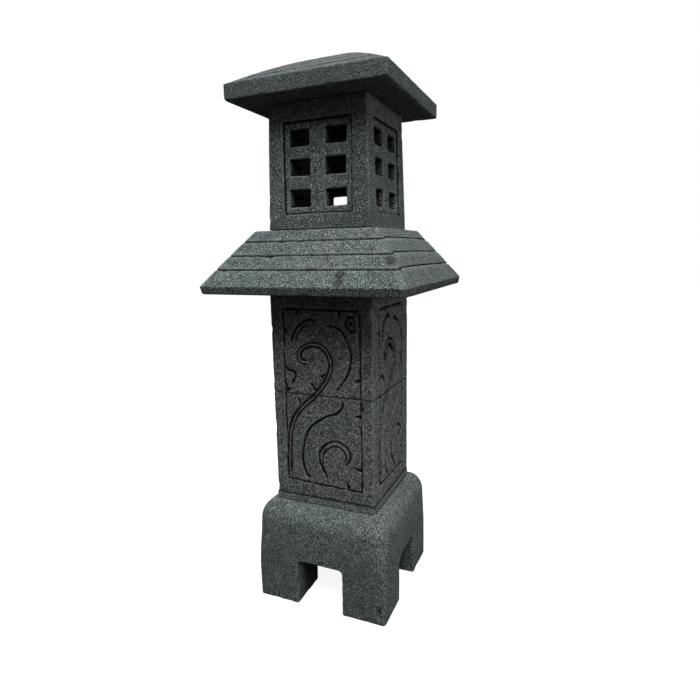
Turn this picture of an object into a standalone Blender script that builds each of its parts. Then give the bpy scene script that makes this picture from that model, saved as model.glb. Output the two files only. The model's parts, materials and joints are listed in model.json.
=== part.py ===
"""Stone garden lantern: six stacked blocks of dark lava stone with a tea light in the chamber.

From the ground up: a four-legged foot stone with a raised seat, two carved shaft blocks, a hipped
eaves stone with sawn courses, an open light chamber with small square windows, and a domed cap.
Every stone rests on the one below and is kept in place by a low tenon or boss in a socket, so the
stack is taken apart by lifting. The tea light stands on the boss inside the chamber.

Units are metres, +Z is up, and the origin is the centre of the footprint on the ground.
The front of the lantern faces -Y.
"""

import math

import bmesh
import bpy
from mathutils import Matrix

# Gap left between two pieces that rest on each other.
GAP = 0.0003

# Foot stone
FOOT_WIDTH = 0.262
FOOT_HEIGHT = 0.200
FOOT_TOP_RADIUS = 0.040
FOOT_CORNER_RADIUS = 0.010
CHANNEL_WIDTH = 0.090
CHANNEL_HEIGHT = 0.089
CHANNEL_RADIUS = 0.008
SEAT_WIDTH = 0.202
SEAT_HEIGHT = 0.012

# Shaft blocks
SHAFT_WIDTH = 0.199
LOWER_SHAFT_HEIGHT = 0.197
UPPER_SHAFT_HEIGHT = 0.186
ARRIS = 0.002

# Tenon on top of a block, and the play all round it in the socket of the next block
TENON_WIDTH = 0.060
TENON_HEIGHT = 0.015
TENON_PLAY = 0.001

# Eaves stone
EAVES_WIDTH = 0.375
EAVES_FASCIA = 0.0135
EAVES_HEIGHT = 0.106
EAVES_TOP_WIDTH = 0.230
COURSE_FRACTIONS = (0.70, 0.43, 0.18)
KERF_WIDTH = 0.003
KERF_DEPTH = 0.004

# Light chamber
CHAMBER_BOTTOM_WIDTH = 0.192
CHAMBER_TOP_WIDTH = 0.181
CHAMBER_HEIGHT = 0.2097
CAVITY_WIDTH = 0.130
PANEL_WIDTH = 0.127
PANEL_HEIGHT = 0.151
PANEL_SILL = 0.027
PANEL_DEPTH = 0.004
WINDOW_WIDTH = 0.037
WINDOW_HEIGHT = 0.0267
WINDOW_SPACING = 0.0672
WINDOW_CENTRES = (0.0519, 0.1038, 0.1519)

# Bosses that centre the chamber and the cap
BOSS_WIDTH = 0.124
BOSS_HEIGHT = 0.012

# Cap stone
CAP_WIDTH = 0.288
CAP_FASCIA = 0.0235
CROWN_POWER = 1.4
CROWN_POINTS = 9
TOTAL_HEIGHT = 1.000

# Tea light
CUP_RADIUS = 0.019
CUP_HEIGHT = 0.016
CUP_WALL = 0.0005
WAX_HEIGHT = 0.0115
WICK_RADIUS = 0.0008
WICK_ABOVE_WAX = 0.007
SUSTAINER_RADIUS = 0.006
SUSTAINER_PLATE = 0.0005
SUSTAINER_COLLAR = 0.0030
COLLAR_WALL = 0.0005
ROUND_STEPS = 40
WICK_STEPS = 12

# Facets in a rounded edge, and how square an edge must be to be rounded
FOOT_SEGMENTS = 6
CHANNEL_SEGMENTS = 3
ARRIS_SEGMENTS = 2
SQUARE_ANGLE = math.radians(60)

# How far a cutting tool reaches past the stone it cuts
OVERRUN = 0.01

# Levels of the stack
SEAT_TOP = FOOT_HEIGHT + SEAT_HEIGHT
LOWER_SHAFT_BASE = SEAT_TOP + GAP
LOWER_SHAFT_TOP = LOWER_SHAFT_BASE + LOWER_SHAFT_HEIGHT
UPPER_SHAFT_BASE = LOWER_SHAFT_TOP + GAP
UPPER_SHAFT_TOP = UPPER_SHAFT_BASE + UPPER_SHAFT_HEIGHT
EAVES_BASE = UPPER_SHAFT_TOP + GAP
EAVES_TOP = EAVES_BASE + EAVES_HEIGHT
CHAMBER_BASE = EAVES_TOP + GAP
CHAMBER_TOP = CHAMBER_BASE + CHAMBER_HEIGHT
CAP_BASE = CHAMBER_TOP + GAP
TEALIGHT_BASE = EAVES_TOP + BOSS_HEIGHT + GAP

STONE_COLOUR = (0.075, 0.088, 0.084, 1.0)
CUP_COLOUR = (0.80, 0.80, 0.81, 1.0)
WAX_COLOUR = (0.88, 0.86, 0.80, 1.0)
WICK_COLOUR = (0.80, 0.78, 0.72, 1.0)
STEEL_COLOUR = (0.55, 0.55, 0.55, 1.0)


def clear_scene():
    """Remove every object, so the script gives the same model each run."""
    for obj in list(bpy.data.objects):
        bpy.data.objects.remove(obj, do_unlink=True)


def new_collection(name):
    """Make a collection under the scene."""
    collection = bpy.data.collections.new(name)
    bpy.context.scene.collection.children.link(collection)
    return collection


def new_material(name, colour, roughness, metallic=0.0):
    """Make a Principled material with one colour."""
    material = bpy.data.materials.new(name)
    material.use_nodes = True
    shader = material.node_tree.nodes["Principled BSDF"]
    shader.inputs["Base Color"].default_value = colour
    shader.inputs["Roughness"].default_value = roughness
    shader.inputs["Metallic"].default_value = metallic
    return material


def add_mesh(name, bm, collection):
    """Turn a bmesh into an object of a collection."""
    mesh = bpy.data.meshes.new(name)
    bm.to_mesh(mesh)
    bm.free()
    obj = bpy.data.objects.new(name, mesh)
    collection.objects.link(obj)
    return obj


def add_block(name, width, depth, height, collection):
    """A box centred on its own origin in X and Y, standing on it in Z."""
    bm = bmesh.new()
    bmesh.ops.create_cube(bm, size=1.0)
    bmesh.ops.translate(bm, verts=bm.verts, vec=(0, 0, 0.5))
    bmesh.ops.scale(bm, verts=bm.verts, vec=(width, depth, height))
    return add_mesh(name, bm, collection)


def weight_edges(obj, weight_of):
    """Give each edge the bevel weight that weight_of returns for its two ends."""
    bm = bmesh.new()
    bm.from_mesh(obj.data)
    layer = bm.edges.layers.float.new("bevel_weight_edge")
    for edge in bm.edges:
        low, high = sorted((v.co for v in edge.verts), key=lambda co: co.z)
        edge[layer] = weight_of(low, high)
    bm.to_mesh(obj.data)
    bm.free()


def add_bevel(obj, width, segments, by_weight=False):
    """Round an object's edges: those with a weight, or all the square ones."""
    bevel = obj.modifiers.new("rounding", "BEVEL")
    bevel.width = width
    bevel.segments = segments
    bevel.limit_method = "WEIGHT" if by_weight else "ANGLE"
    bevel.angle_limit = SQUARE_ANGLE


def combine(obj, tool, operation):
    """Cut a tool from an object, or join it on."""
    boolean = obj.modifiers.new(tool.name, "BOOLEAN")
    boolean.operation = operation
    boolean.solver = "EXACT"
    boolean.object = tool
    tool.hide_render = True
    tool.display_type = "WIRE"


def turn(name, profile, steps, collection, closed=False):
    """Turn a profile of (radius, height) points about Z. The profile runs down its outer side."""
    bm = bmesh.new()
    points = [bm.verts.new((radius, 0.0, height)) for radius, height in profile]
    for upper, lower in zip(points, points[1:]):
        bm.edges.new((upper, lower))
    if closed:
        bm.edges.new((points[-1], points[0]))
    obj = add_mesh(name, bm, collection)
    screw = obj.modifiers.new("turning", "SCREW")
    screw.steps = steps
    screw.render_steps = steps
    screw.use_merge_vertices = True
    screw.merge_threshold = 0.00001
    screw.use_smooth_shade = steps > 4
    return obj


def turn_square(name, profile, collection, closed=False):
    """A block with a square plan from a profile of (half width, height) points."""
    on_diagonal = [(half * math.sqrt(2), height) for half, height in profile]
    obj = turn(name, on_diagonal, 4, collection, closed)
    obj.rotation_euler.z = math.radians(45)
    return obj


def tenon_profile(top):
    """The upper end of a block's profile: a tenon, from its axis out to its root."""
    half = TENON_WIDTH / 2
    return [(0, top + TENON_HEIGHT), (half, top + TENON_HEIGHT), (half, top)]


def socket_profile():
    """The lower end of a block's profile: a socket, from its chamfered mouth in to its axis."""
    half = TENON_WIDTH / 2 + TENON_PLAY
    depth = TENON_HEIGHT + TENON_PLAY
    return [(half + ARRIS, 0), (half, ARRIS), (half, depth), (0, depth)]


def make_foot(parts, cutters):
    """The foot: a block with a rounded top, on four legs left by two crossing channels."""
    foot = add_block("foot_stone", FOOT_WIDTH, FOOT_WIDTH, FOOT_HEIGHT, parts)

    def weight(low, high):
        if low.z > 0:
            return 1.0
        return FOOT_CORNER_RADIUS / FOOT_TOP_RADIUS if high.z > 0 else 0.0

    weight_edges(foot, weight)
    add_bevel(foot, FOOT_TOP_RADIUS, FOOT_SEGMENTS, by_weight=True)

    seat_root = FOOT_HEIGHT / 2
    seat_profile = [
        *tenon_profile(SEAT_TOP),
        (SEAT_WIDTH / 2, SEAT_TOP),
        (SEAT_WIDTH / 2, seat_root),
        (0, seat_root),
    ]
    seat = turn_square("seat", seat_profile, cutters)
    combine(foot, seat, "UNION")

    for name, turned in (("channel_front", 0), ("channel_side", 90)):
        channel = add_block(
            name, CHANNEL_WIDTH, FOOT_WIDTH + 2 * OVERRUN, CHANNEL_HEIGHT + OVERRUN, cutters
        )
        weight_edges(
            channel,
            lambda low, high: float(low.z > 0 and abs(low.x - high.x) < OVERRUN),
        )
        add_bevel(channel, CHANNEL_RADIUS, CHANNEL_SEGMENTS, by_weight=True)
        channel.location.z = -OVERRUN
        channel.rotation_euler.z = math.radians(turned)
        combine(foot, channel, "DIFFERENCE")
    return foot


def make_shaft_block(name, base, height, parts):
    """A plain square block with a tenon above and a socket below."""
    half = SHAFT_WIDTH / 2
    profile = [*tenon_profile(height), (half, height), (half, 0), *socket_profile()]
    block = turn_square(name, profile, parts)
    add_bevel(block, ARRIS, ARRIS_SEGMENTS)
    block.location.z = base
    return block


def kerf_points(fraction):
    """A saw kerf in the eaves slope, from its upper lip to its lower one.

    fraction runs from 0 at the top edge of the slope to 1 at the fascia. The kerf is square to
    the slope.
    """
    run = (EAVES_WIDTH - EAVES_TOP_WIDTH) / 2
    rise = EAVES_HEIGHT - EAVES_FASCIA
    length = math.hypot(run, rise)
    along = (run / length, -rise / length)
    inward = (-rise / length, -run / length)
    centre = (EAVES_TOP_WIDTH / 2 + fraction * run, EAVES_HEIGHT - fraction * rise)
    corners = ((-1, 0), (-1, 1), (1, 1), (1, 0))
    return [
        tuple(
            centre[i] + side * along[i] * KERF_WIDTH / 2 + deep * inward[i] * KERF_DEPTH
            for i in (0, 1)
        )
        for side, deep in corners
    ]


def make_eaves(parts):
    """The hipped eaves stone, with its sawn courses and the boss that floors the chamber."""
    boss_top = EAVES_HEIGHT + BOSS_HEIGHT
    profile = [
        (0, boss_top),
        (BOSS_WIDTH / 2, boss_top),
        (BOSS_WIDTH / 2, EAVES_HEIGHT),
        (EAVES_TOP_WIDTH / 2, EAVES_HEIGHT),
    ]
    for fraction in sorted(COURSE_FRACTIONS):
        profile += kerf_points(fraction)
    profile += [(EAVES_WIDTH / 2, EAVES_FASCIA), (EAVES_WIDTH / 2, 0), *socket_profile()]
    eaves = turn_square("eaves_stone", profile, parts)
    eaves.location.z = EAVES_BASE
    return eaves


def make_chamber(parts, cutters):
    """The light chamber: a square tube with a recessed panel and six windows in each wall."""
    lean = (CHAMBER_BOTTOM_WIDTH - CHAMBER_TOP_WIDTH) / 2
    profile = [
        (CAVITY_WIDTH / 2, CHAMBER_HEIGHT),
        (CHAMBER_TOP_WIDTH / 2, CHAMBER_HEIGHT),
        (CHAMBER_BOTTOM_WIDTH / 2, 0),
        (CAVITY_WIDTH / 2, 0),
    ]
    chamber = turn_square("light_chamber", profile, parts, closed=True)
    chamber.location.z = CHAMBER_BASE

    tilt = Matrix.Rotation(-math.atan2(lean, CHAMBER_HEIGHT), 4, "X")
    panel_size = (PANEL_WIDTH, PANEL_DEPTH + OVERRUN, PANEL_HEIGHT)
    for side in range(4):
        panel = add_block(f"panel_{side}", *panel_size, cutters)
        face = -CHAMBER_BOTTOM_WIDTH / 2
        centre = face + PANEL_DEPTH - panel_size[1] / 2
        to_wall = Matrix.Translation((0, centre, PANEL_SILL))
        hinge = Matrix.Translation((0, face, 0))
        leaned = hinge @ tilt @ hinge.inverted() @ to_wall
        turned = Matrix.Rotation(side * math.pi / 2, 4, "Z")
        panel.matrix_world = Matrix.Translation((0, 0, CHAMBER_BASE)) @ turned @ leaned
        combine(chamber, panel, "DIFFERENCE")

    through = CHAMBER_BOTTOM_WIDTH + 2 * OVERRUN
    for turned in (0, 90):
        for column in (-1, 1):
            for row, height in enumerate(WINDOW_CENTRES):
                name = f"window_{turned}_{column}_{row}"
                window = add_block(name, WINDOW_WIDTH, through, WINDOW_HEIGHT, cutters)
                place = Matrix.Translation(
                    (column * WINDOW_SPACING / 2, 0, CHAMBER_BASE + height - WINDOW_HEIGHT / 2)
                )
                window.matrix_world = Matrix.Rotation(math.radians(turned), 4, "Z") @ place
                combine(chamber, window, "DIFFERENCE")
    return chamber


def make_cap(parts):
    """The cap: a square slab with a convex hipped crown, and a boss under it."""
    half = CAP_WIDTH / 2
    crown = TOTAL_HEIGHT - CAP_BASE - CAP_FASCIA
    profile = []
    for i in range(CROWN_POINTS):
        share = i / (CROWN_POINTS - 1)
        profile.append((share * half, CAP_FASCIA + crown * (1 - share**CROWN_POWER)))
    boss = BOSS_WIDTH / 2 - TENON_PLAY
    profile += [(half, 0), (boss, 0), (boss, -BOSS_HEIGHT), (0, -BOSS_HEIGHT)]
    cap = turn_square("cap_stone", profile, parts)
    cap.location.z = CAP_BASE
    return cap


def make_tealight(parts):
    """The tea light: an aluminium cup, its wax, a wick through it and the plate that holds it."""
    inner = CUP_RADIUS - CUP_WALL
    cup_profile = [
        (0, CUP_WALL),
        (inner, CUP_WALL),
        (inner, CUP_HEIGHT),
        (CUP_RADIUS, CUP_HEIGHT),
        (CUP_RADIUS, 0),
        (0, 0),
    ]
    cup = turn("tealight_cup", cup_profile, ROUND_STEPS, parts)

    floor = CUP_WALL + GAP
    bore = WICK_RADIUS + GAP
    collar = bore + COLLAR_WALL
    plate_top = floor + SUSTAINER_PLATE
    collar_top = floor + SUSTAINER_COLLAR
    sustainer_profile = [
        (bore, collar_top),
        (collar, collar_top),
        (collar, plate_top),
        (SUSTAINER_RADIUS, plate_top),
        (SUSTAINER_RADIUS, floor),
        (bore, floor),
    ]
    sustainer = turn("wick_sustainer", sustainer_profile, ROUND_STEPS, parts, closed=True)

    wax_top = floor + WAX_HEIGHT
    wax_profile = [
        (bore, wax_top),
        (inner - GAP, wax_top),
        (inner - GAP, floor),
        (SUSTAINER_RADIUS + GAP, floor),
        (SUSTAINER_RADIUS + GAP, plate_top + GAP),
        (collar + GAP, plate_top + GAP),
        (collar + GAP, collar_top + GAP),
        (bore, collar_top + GAP),
    ]
    wax = turn("tealight_wax", wax_profile, ROUND_STEPS, parts, closed=True)

    wick_top = wax_top + WICK_ABOVE_WAX
    wick_profile = [(0, wick_top), (WICK_RADIUS, wick_top), (WICK_RADIUS, floor), (0, floor)]
    wick = turn("tealight_wick", wick_profile, WICK_STEPS, parts)
    pieces = (cup, wax, wick, sustainer)
    for piece in pieces:
        piece.location.z = TEALIGHT_BASE
    return pieces


def main():
    """Build the lantern from the ground up."""
    clear_scene()
    parts = new_collection("stone_lantern")
    cutters = new_collection("cutters")

    stones = [
        make_foot(parts, cutters),
        make_shaft_block("lower_shaft", LOWER_SHAFT_BASE, LOWER_SHAFT_HEIGHT, parts),
        make_shaft_block("upper_shaft", UPPER_SHAFT_BASE, UPPER_SHAFT_HEIGHT, parts),
        make_eaves(parts),
        make_chamber(parts, cutters),
        make_cap(parts),
    ]
    for stone in stones:
        stone.data.materials.append(new_material(stone.name, STONE_COLOUR, 0.9))

    cup, wax, wick, sustainer = make_tealight(parts)
    cup.data.materials.append(new_material("cup_aluminium", CUP_COLOUR, 0.3, metallic=1.0))
    wax.data.materials.append(new_material("candle_wax", WAX_COLOUR, 0.45))
    wick.data.materials.append(new_material("wick_cotton", WICK_COLOUR, 0.9))
    sustainer.data.materials.append(
        new_material("sustainer_steel", STEEL_COLOUR, 0.4, metallic=1.0)
    )


main()
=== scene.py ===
"""Looks of the square stone garden lantern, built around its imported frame.

Six blocks of dark lava stone are made as fine closed surfaces: the shaft blocks, the eaves stone
and the cap as profiles carried round a square, the foot and the light chamber as the zero level of
a distance function, because legs and windows open them. A tea light stands inside the chamber.
All lengths are metres in the frame's own axes: +Z is up and the front faces -Y.
"""

import json
import logging
import math
from collections.abc import Callable
from dataclasses import dataclass, field
from enum import Enum

import bpy
import numpy as np
from mathutils import Matrix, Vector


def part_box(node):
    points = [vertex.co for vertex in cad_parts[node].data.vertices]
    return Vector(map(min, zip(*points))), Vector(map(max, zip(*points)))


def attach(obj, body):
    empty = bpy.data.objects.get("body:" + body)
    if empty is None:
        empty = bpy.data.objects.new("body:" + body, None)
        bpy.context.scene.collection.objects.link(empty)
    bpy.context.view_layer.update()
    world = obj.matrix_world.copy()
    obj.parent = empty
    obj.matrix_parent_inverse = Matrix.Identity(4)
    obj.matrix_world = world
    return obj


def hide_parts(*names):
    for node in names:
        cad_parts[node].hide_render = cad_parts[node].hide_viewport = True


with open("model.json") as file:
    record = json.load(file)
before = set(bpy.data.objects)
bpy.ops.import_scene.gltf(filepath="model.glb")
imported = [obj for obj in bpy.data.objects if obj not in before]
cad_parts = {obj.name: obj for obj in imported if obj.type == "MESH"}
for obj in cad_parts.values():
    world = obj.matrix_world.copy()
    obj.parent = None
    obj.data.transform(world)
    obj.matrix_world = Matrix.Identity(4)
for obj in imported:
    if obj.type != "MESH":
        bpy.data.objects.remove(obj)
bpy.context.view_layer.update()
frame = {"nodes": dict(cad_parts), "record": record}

log = logging.getLogger("stone_lantern")

MM = 0.001
NET_MARGIN = 3


# ---------------------------------------------------------------------------------------------
# Noise and mesh arithmetic
# ---------------------------------------------------------------------------------------------


def lattice_hash(cells: np.ndarray, seed: int) -> np.ndarray:
    """Give each whole-number cell a repeatable number.

    The three indices are multiplied by primes, added, and their bits shuffled.

    Args:
        cells: Cell indices, (N, 3).
        seed: Picks another set of numbers.

    Returns:
        Numbers from -1 to 1, (N,).
    """
    mixed = (cells.astype(np.int64) * np.array([73856093, 19349663, 83492791])).sum(-1)
    mixed = mixed + seed * 1013904223
    mixed = (mixed ^ (mixed >> 13)) * 1274126177
    mixed = mixed ^ (mixed >> 16)
    return (mixed & 0xFFFF) / 32767.5 - 1.0


def value_noise(points: np.ndarray, cell: float, seed: int) -> np.ndarray:
    """Blend the hashes of the eight cell corners round each point with smoothstep weights.

    Args:
        points: Points, (N, 3).
        cell: Edge of one cell.
        seed: Picks another pattern.

    Returns:
        Noise from -1 to 1, (N,).
    """
    scaled = points / cell
    low = np.floor(scaled)
    share = scaled - low
    share = share * share * (3 - 2 * share)
    total = np.zeros(len(points))
    for corner in np.ndindex(2, 2, 2):
        weight = np.where(np.array(corner) == 1, share, 1 - share).prod(-1)
        total += weight * lattice_hash(low + np.array(corner), seed)
    return total


def fractal(points: np.ndarray, cell: float, octaves: int, seed: int) -> np.ndarray:
    """Add octaves of value noise, each half as large and half as strong as the one before.

    Args:
        points: Points, (N, 3).
        cell: Edge of the largest cell.
        octaves: Number of layers.
        seed: Picks another pattern.

    Returns:
        Noise of about -1 to 1, (N,).
    """
    layers = [value_noise(points, cell / 2**k, seed + 17 * k) / 2**k for k in range(octaves)]
    return sum(layers) / (2 - 2 ** (1 - octaves))


def smooth_step(value: np.ndarray, low: float, high: float) -> np.ndarray:
    """Rise from 0 at low to 1 at high with level ends."""
    share = np.clip((value - low) / (high - low), 0.0, 1.0)
    return share * share * (3 - 2 * share)


def face_edges(faces: list[np.ndarray]) -> np.ndarray:
    """List the sides of all faces as vertex pairs, (M, 2)."""
    return np.concatenate(
        [np.stack([f, np.roll(f, -1, axis=1)], -1).reshape(-1, 2) for f in faces]
    )


def vertex_normals(points: np.ndarray, faces: list[np.ndarray]) -> np.ndarray:
    """Sum the cross products of each face's diagonals at its corners, and make them unit length.

    Args:
        points: Vertices, (N, 3).
        faces: Arrays of triangles and quads.

    Returns:
        Unit normals, (N, 3).
    """
    normals = np.zeros_like(points)
    for f in faces:
        last = f[:, -1]
        cross = np.cross(points[f[:, 2]] - points[f[:, 0]], points[last] - points[f[:, 1]])
        if f.shape[1] == 3:
            cross = np.cross(points[f[:, 1]] - points[f[:, 0]], points[last] - points[f[:, 0]])
        for axis in range(3):
            weights = np.repeat(cross[:, axis], f.shape[1])
            normals[:, axis] += np.bincount(f.ravel(), weights, len(points))
    length = np.linalg.norm(normals, axis=1, keepdims=True)
    return normals / np.maximum(length, 1e-12)


def convexity(
    points: np.ndarray, faces: list[np.ndarray], normals: np.ndarray, passes: int
) -> np.ndarray:
    """Measure how far each vertex stands proud of its surroundings.

    The surface is smoothed by averaging neighbours a few times, and the distance from the smooth
    surface to the real one is taken along the normal: edges are positive, grooves negative.

    Args:
        points: Vertices, (N, 3).
        faces: Arrays of triangles and quads.
        normals: Unit normals, (N, 3).
        passes: Number of smoothing passes, which sets the width of an edge.

    Returns:
        Heights in metres, (N,).
    """
    pairs = face_edges(faces)
    first = np.concatenate([pairs[:, 0], pairs[:, 1]])
    second = np.concatenate([pairs[:, 1], pairs[:, 0]])
    count = np.maximum(np.bincount(first, minlength=len(points)), 1)
    smooth = points.copy()
    for _ in range(passes):
        smooth = np.stack(
            [np.bincount(first, smooth[second, i], len(points)) / count for i in range(3)], -1
        )
    return ((points - smooth) * normals).sum(-1)


def quads_between(upper: np.ndarray, lower: np.ndarray) -> np.ndarray:
    """Join rows of rings of vertex numbers to the rows below them with quads, (M, 4)."""
    ahead = [np.roll(rows, -1, axis=1) for rows in (lower, upper)]
    return np.stack([upper, lower, *ahead], -1).reshape(-1, 4)


def close_ends(grid: np.ndarray) -> tuple[np.ndarray, list[np.ndarray]]:
    """Close a stack of rings: the first and the last shrink to one vertex at their mean.

    Args:
        grid: Points by ring and column, (R, C, 3), from the top down the outer side.

    Returns:
        Vertices, and arrays of quads and triangles that face outwards.
    """
    inner = grid[1:-1]
    index = np.arange(inner[..., 0].size).reshape(inner.shape[:2])
    ahead = np.roll(index, -1, axis=1)
    top = np.full(index.shape[1], index.size)
    fans = [
        np.stack([top, index[0], ahead[0]], -1),
        np.stack([ahead[-1], index[-1], top + 1], -1),
    ]
    points = np.concatenate([inner.reshape(-1, 3), grid[[0, -1]].mean(1)])
    return points, [quads_between(index[:-1], index[1:]), np.concatenate(fans)]


def make_mesh(name: str, points: np.ndarray, faces: list[np.ndarray]) -> bpy.types.Object:
    """Put whole arrays of vertices and faces into a new smooth-shaded object.

    Args:
        name: Name of the piece.
        points: Vertices, (N, 3).
        faces: Arrays of triangles and quads.

    Returns:
        The object, at the origin and linked to the scene.
    """
    mesh = bpy.data.meshes.new(name)
    loops = np.concatenate([f.ravel() for f in faces]).astype(np.int32)
    sizes = np.concatenate([np.full(len(f), f.shape[1]) for f in faces])
    starts = np.concatenate([[0], np.cumsum(sizes)[:-1]]).astype(np.int32)
    mesh.vertices.add(len(points))
    mesh.vertices.foreach_set("co", points.astype(np.float32).ravel())
    mesh.loops.add(len(loops))
    mesh.loops.foreach_set("vertex_index", loops)
    mesh.polygons.add(len(starts))
    mesh.polygons.foreach_set("loop_start", starts)
    mesh.polygons.foreach_set("use_smooth", np.ones(len(starts), bool))
    mesh.update(calc_edges=True)
    mesh.validate()
    obj = bpy.data.objects.new(name, mesh)
    bpy.context.scene.collection.objects.link(obj)
    return obj


def add_attribute(obj: bpy.types.Object, name: str, values: np.ndarray) -> None:
    """Store one number per vertex under a name."""
    layer = obj.data.attributes.new(name, "FLOAT", "POINT")
    layer.data.foreach_set("value", values.astype(np.float32))


# ---------------------------------------------------------------------------------------------
# Finishes
# ---------------------------------------------------------------------------------------------


class NodeSheet:
    """A material's node tree, with short calls to add and join nodes."""

    def __init__(self, name: str) -> None:
        """Make the material and keep its Principled shader at hand."""
        self.material = bpy.data.materials.new(name)
        self.material.use_nodes = True
        self.tree = self.material.node_tree
        self.shader = next(n for n in self.tree.nodes if n.type == "BSDF_PRINCIPLED")

    def feed(self, socket: bpy.types.NodeSocket, value: object) -> None:
        """Join a socket to an output, or set its constant."""
        if isinstance(value, bpy.types.NodeSocket):
            self.tree.links.new(value, socket)
        else:
            socket.default_value = value

    def add(self, kind: str, inputs: dict[str | int, object], **settings: object) -> bpy.types.Node:
        """Add a node.

        Args:
            kind: Node type, without its ShaderNode prefix.
            inputs: Socket names or numbers, with a constant or an output for each.
            **settings: Properties of the node.

        Returns:
            The node.
        """
        node = self.tree.nodes.new("ShaderNode" + kind)
        for key, value in settings.items():
            setattr(node, key, value)
        for key, value in inputs.items():
            self.feed(node.inputs[key], value)
        return node

    def math(self, operation: str, *values: object) -> bpy.types.NodeSocket:
        """Add a Math node and return its output."""
        return self.add("Math", dict(enumerate(values)), operation=operation).outputs[0]

    def span(
        self, value: bpy.types.NodeSocket, low: float, high: float, to_low: float, to_high: float
    ) -> bpy.types.NodeSocket:
        """Map low..high to to_low..to_high, held at the ends."""
        inputs = {0: value, 1: low, 2: high, 3: to_low, 4: to_high}
        return self.add("MapRange", inputs, clamp=True).outputs[0]

    def mix(
        self, share: object, first: object, second: object, blend: str = "MIX"
    ) -> bpy.types.NodeSocket:
        """Mix two colours.

        Args:
            share: Share of the second colour.
            first: First colour.
            second: Second colour.
            blend: How they mix.

        Returns:
            The mixed colour.
        """
        node = self.add("Mix", {}, data_type="RGBA", blend_type=blend)
        for index, value in ((0, share), (6, first), (7, second)):
            self.feed(node.inputs[index], value)
        return node.outputs[2]

    def noise(
        self, vector: bpy.types.NodeSocket, scale: float, detail: float, roughness: float
    ) -> bpy.types.NodeSocket:
        """Add a noise texture and return its value."""
        inputs = {"Vector": vector, "Scale": scale, "Detail": detail, "Roughness": roughness}
        return self.add("TexNoise", inputs).outputs["Fac"]

    def placed_coordinates(self, shift: tuple[float, float, float]) -> bpy.types.NodeSocket:
        """Object coordinates, shifted so that every piece shows another part of a pattern."""
        coordinates = self.add("TexCoord", {}).outputs["Object"]
        return self.add("Mapping", {"Vector": coordinates, "Location": shift}).outputs[0]

    def attribute(self, name: str) -> bpy.types.NodeSocket:
        """Read one of the piece's own numbers."""
        return self.add("Attribute", {}, attribute_name=name).outputs["Fac"]

    def coat(self, colour: object, roughness: object, **others: object) -> None:
        """Feed the shader's sockets.

        Args:
            colour: Base colour, a constant or an output.
            roughness: Roughness, a constant or an output.
            **others: Further sockets, with _ for the spaces in their names.
        """
        inputs = {"Base_Color": colour, "Roughness": roughness, **others}
        for name, value in inputs.items():
            self.feed(self.shader.inputs[name.replace("_", " ")], value)

    def roughen(self, height: bpy.types.NodeSocket, strength: float, reach: float) -> None:
        """Turn a height into bump on the shader's normal."""
        inputs = {"Height": height, "Strength": strength, "Distance": reach}
        self.feed(self.shader.inputs["Normal"], self.add("Bump", inputs).outputs[0])

    def dress(self, obj: bpy.types.Object) -> None:
        """Make this the object's only material."""
        obj.data.materials.clear()
        obj.data.materials.append(self.material)


def grey(value: float, tint: tuple[float, float, float] = (1.0, 1.0, 1.0)) -> tuple[float, ...]:
    """A grey of one brightness, times a tint, as a colour with alpha."""
    return (value * tint[0], value * tint[1], value * tint[2], 1.0)


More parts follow.
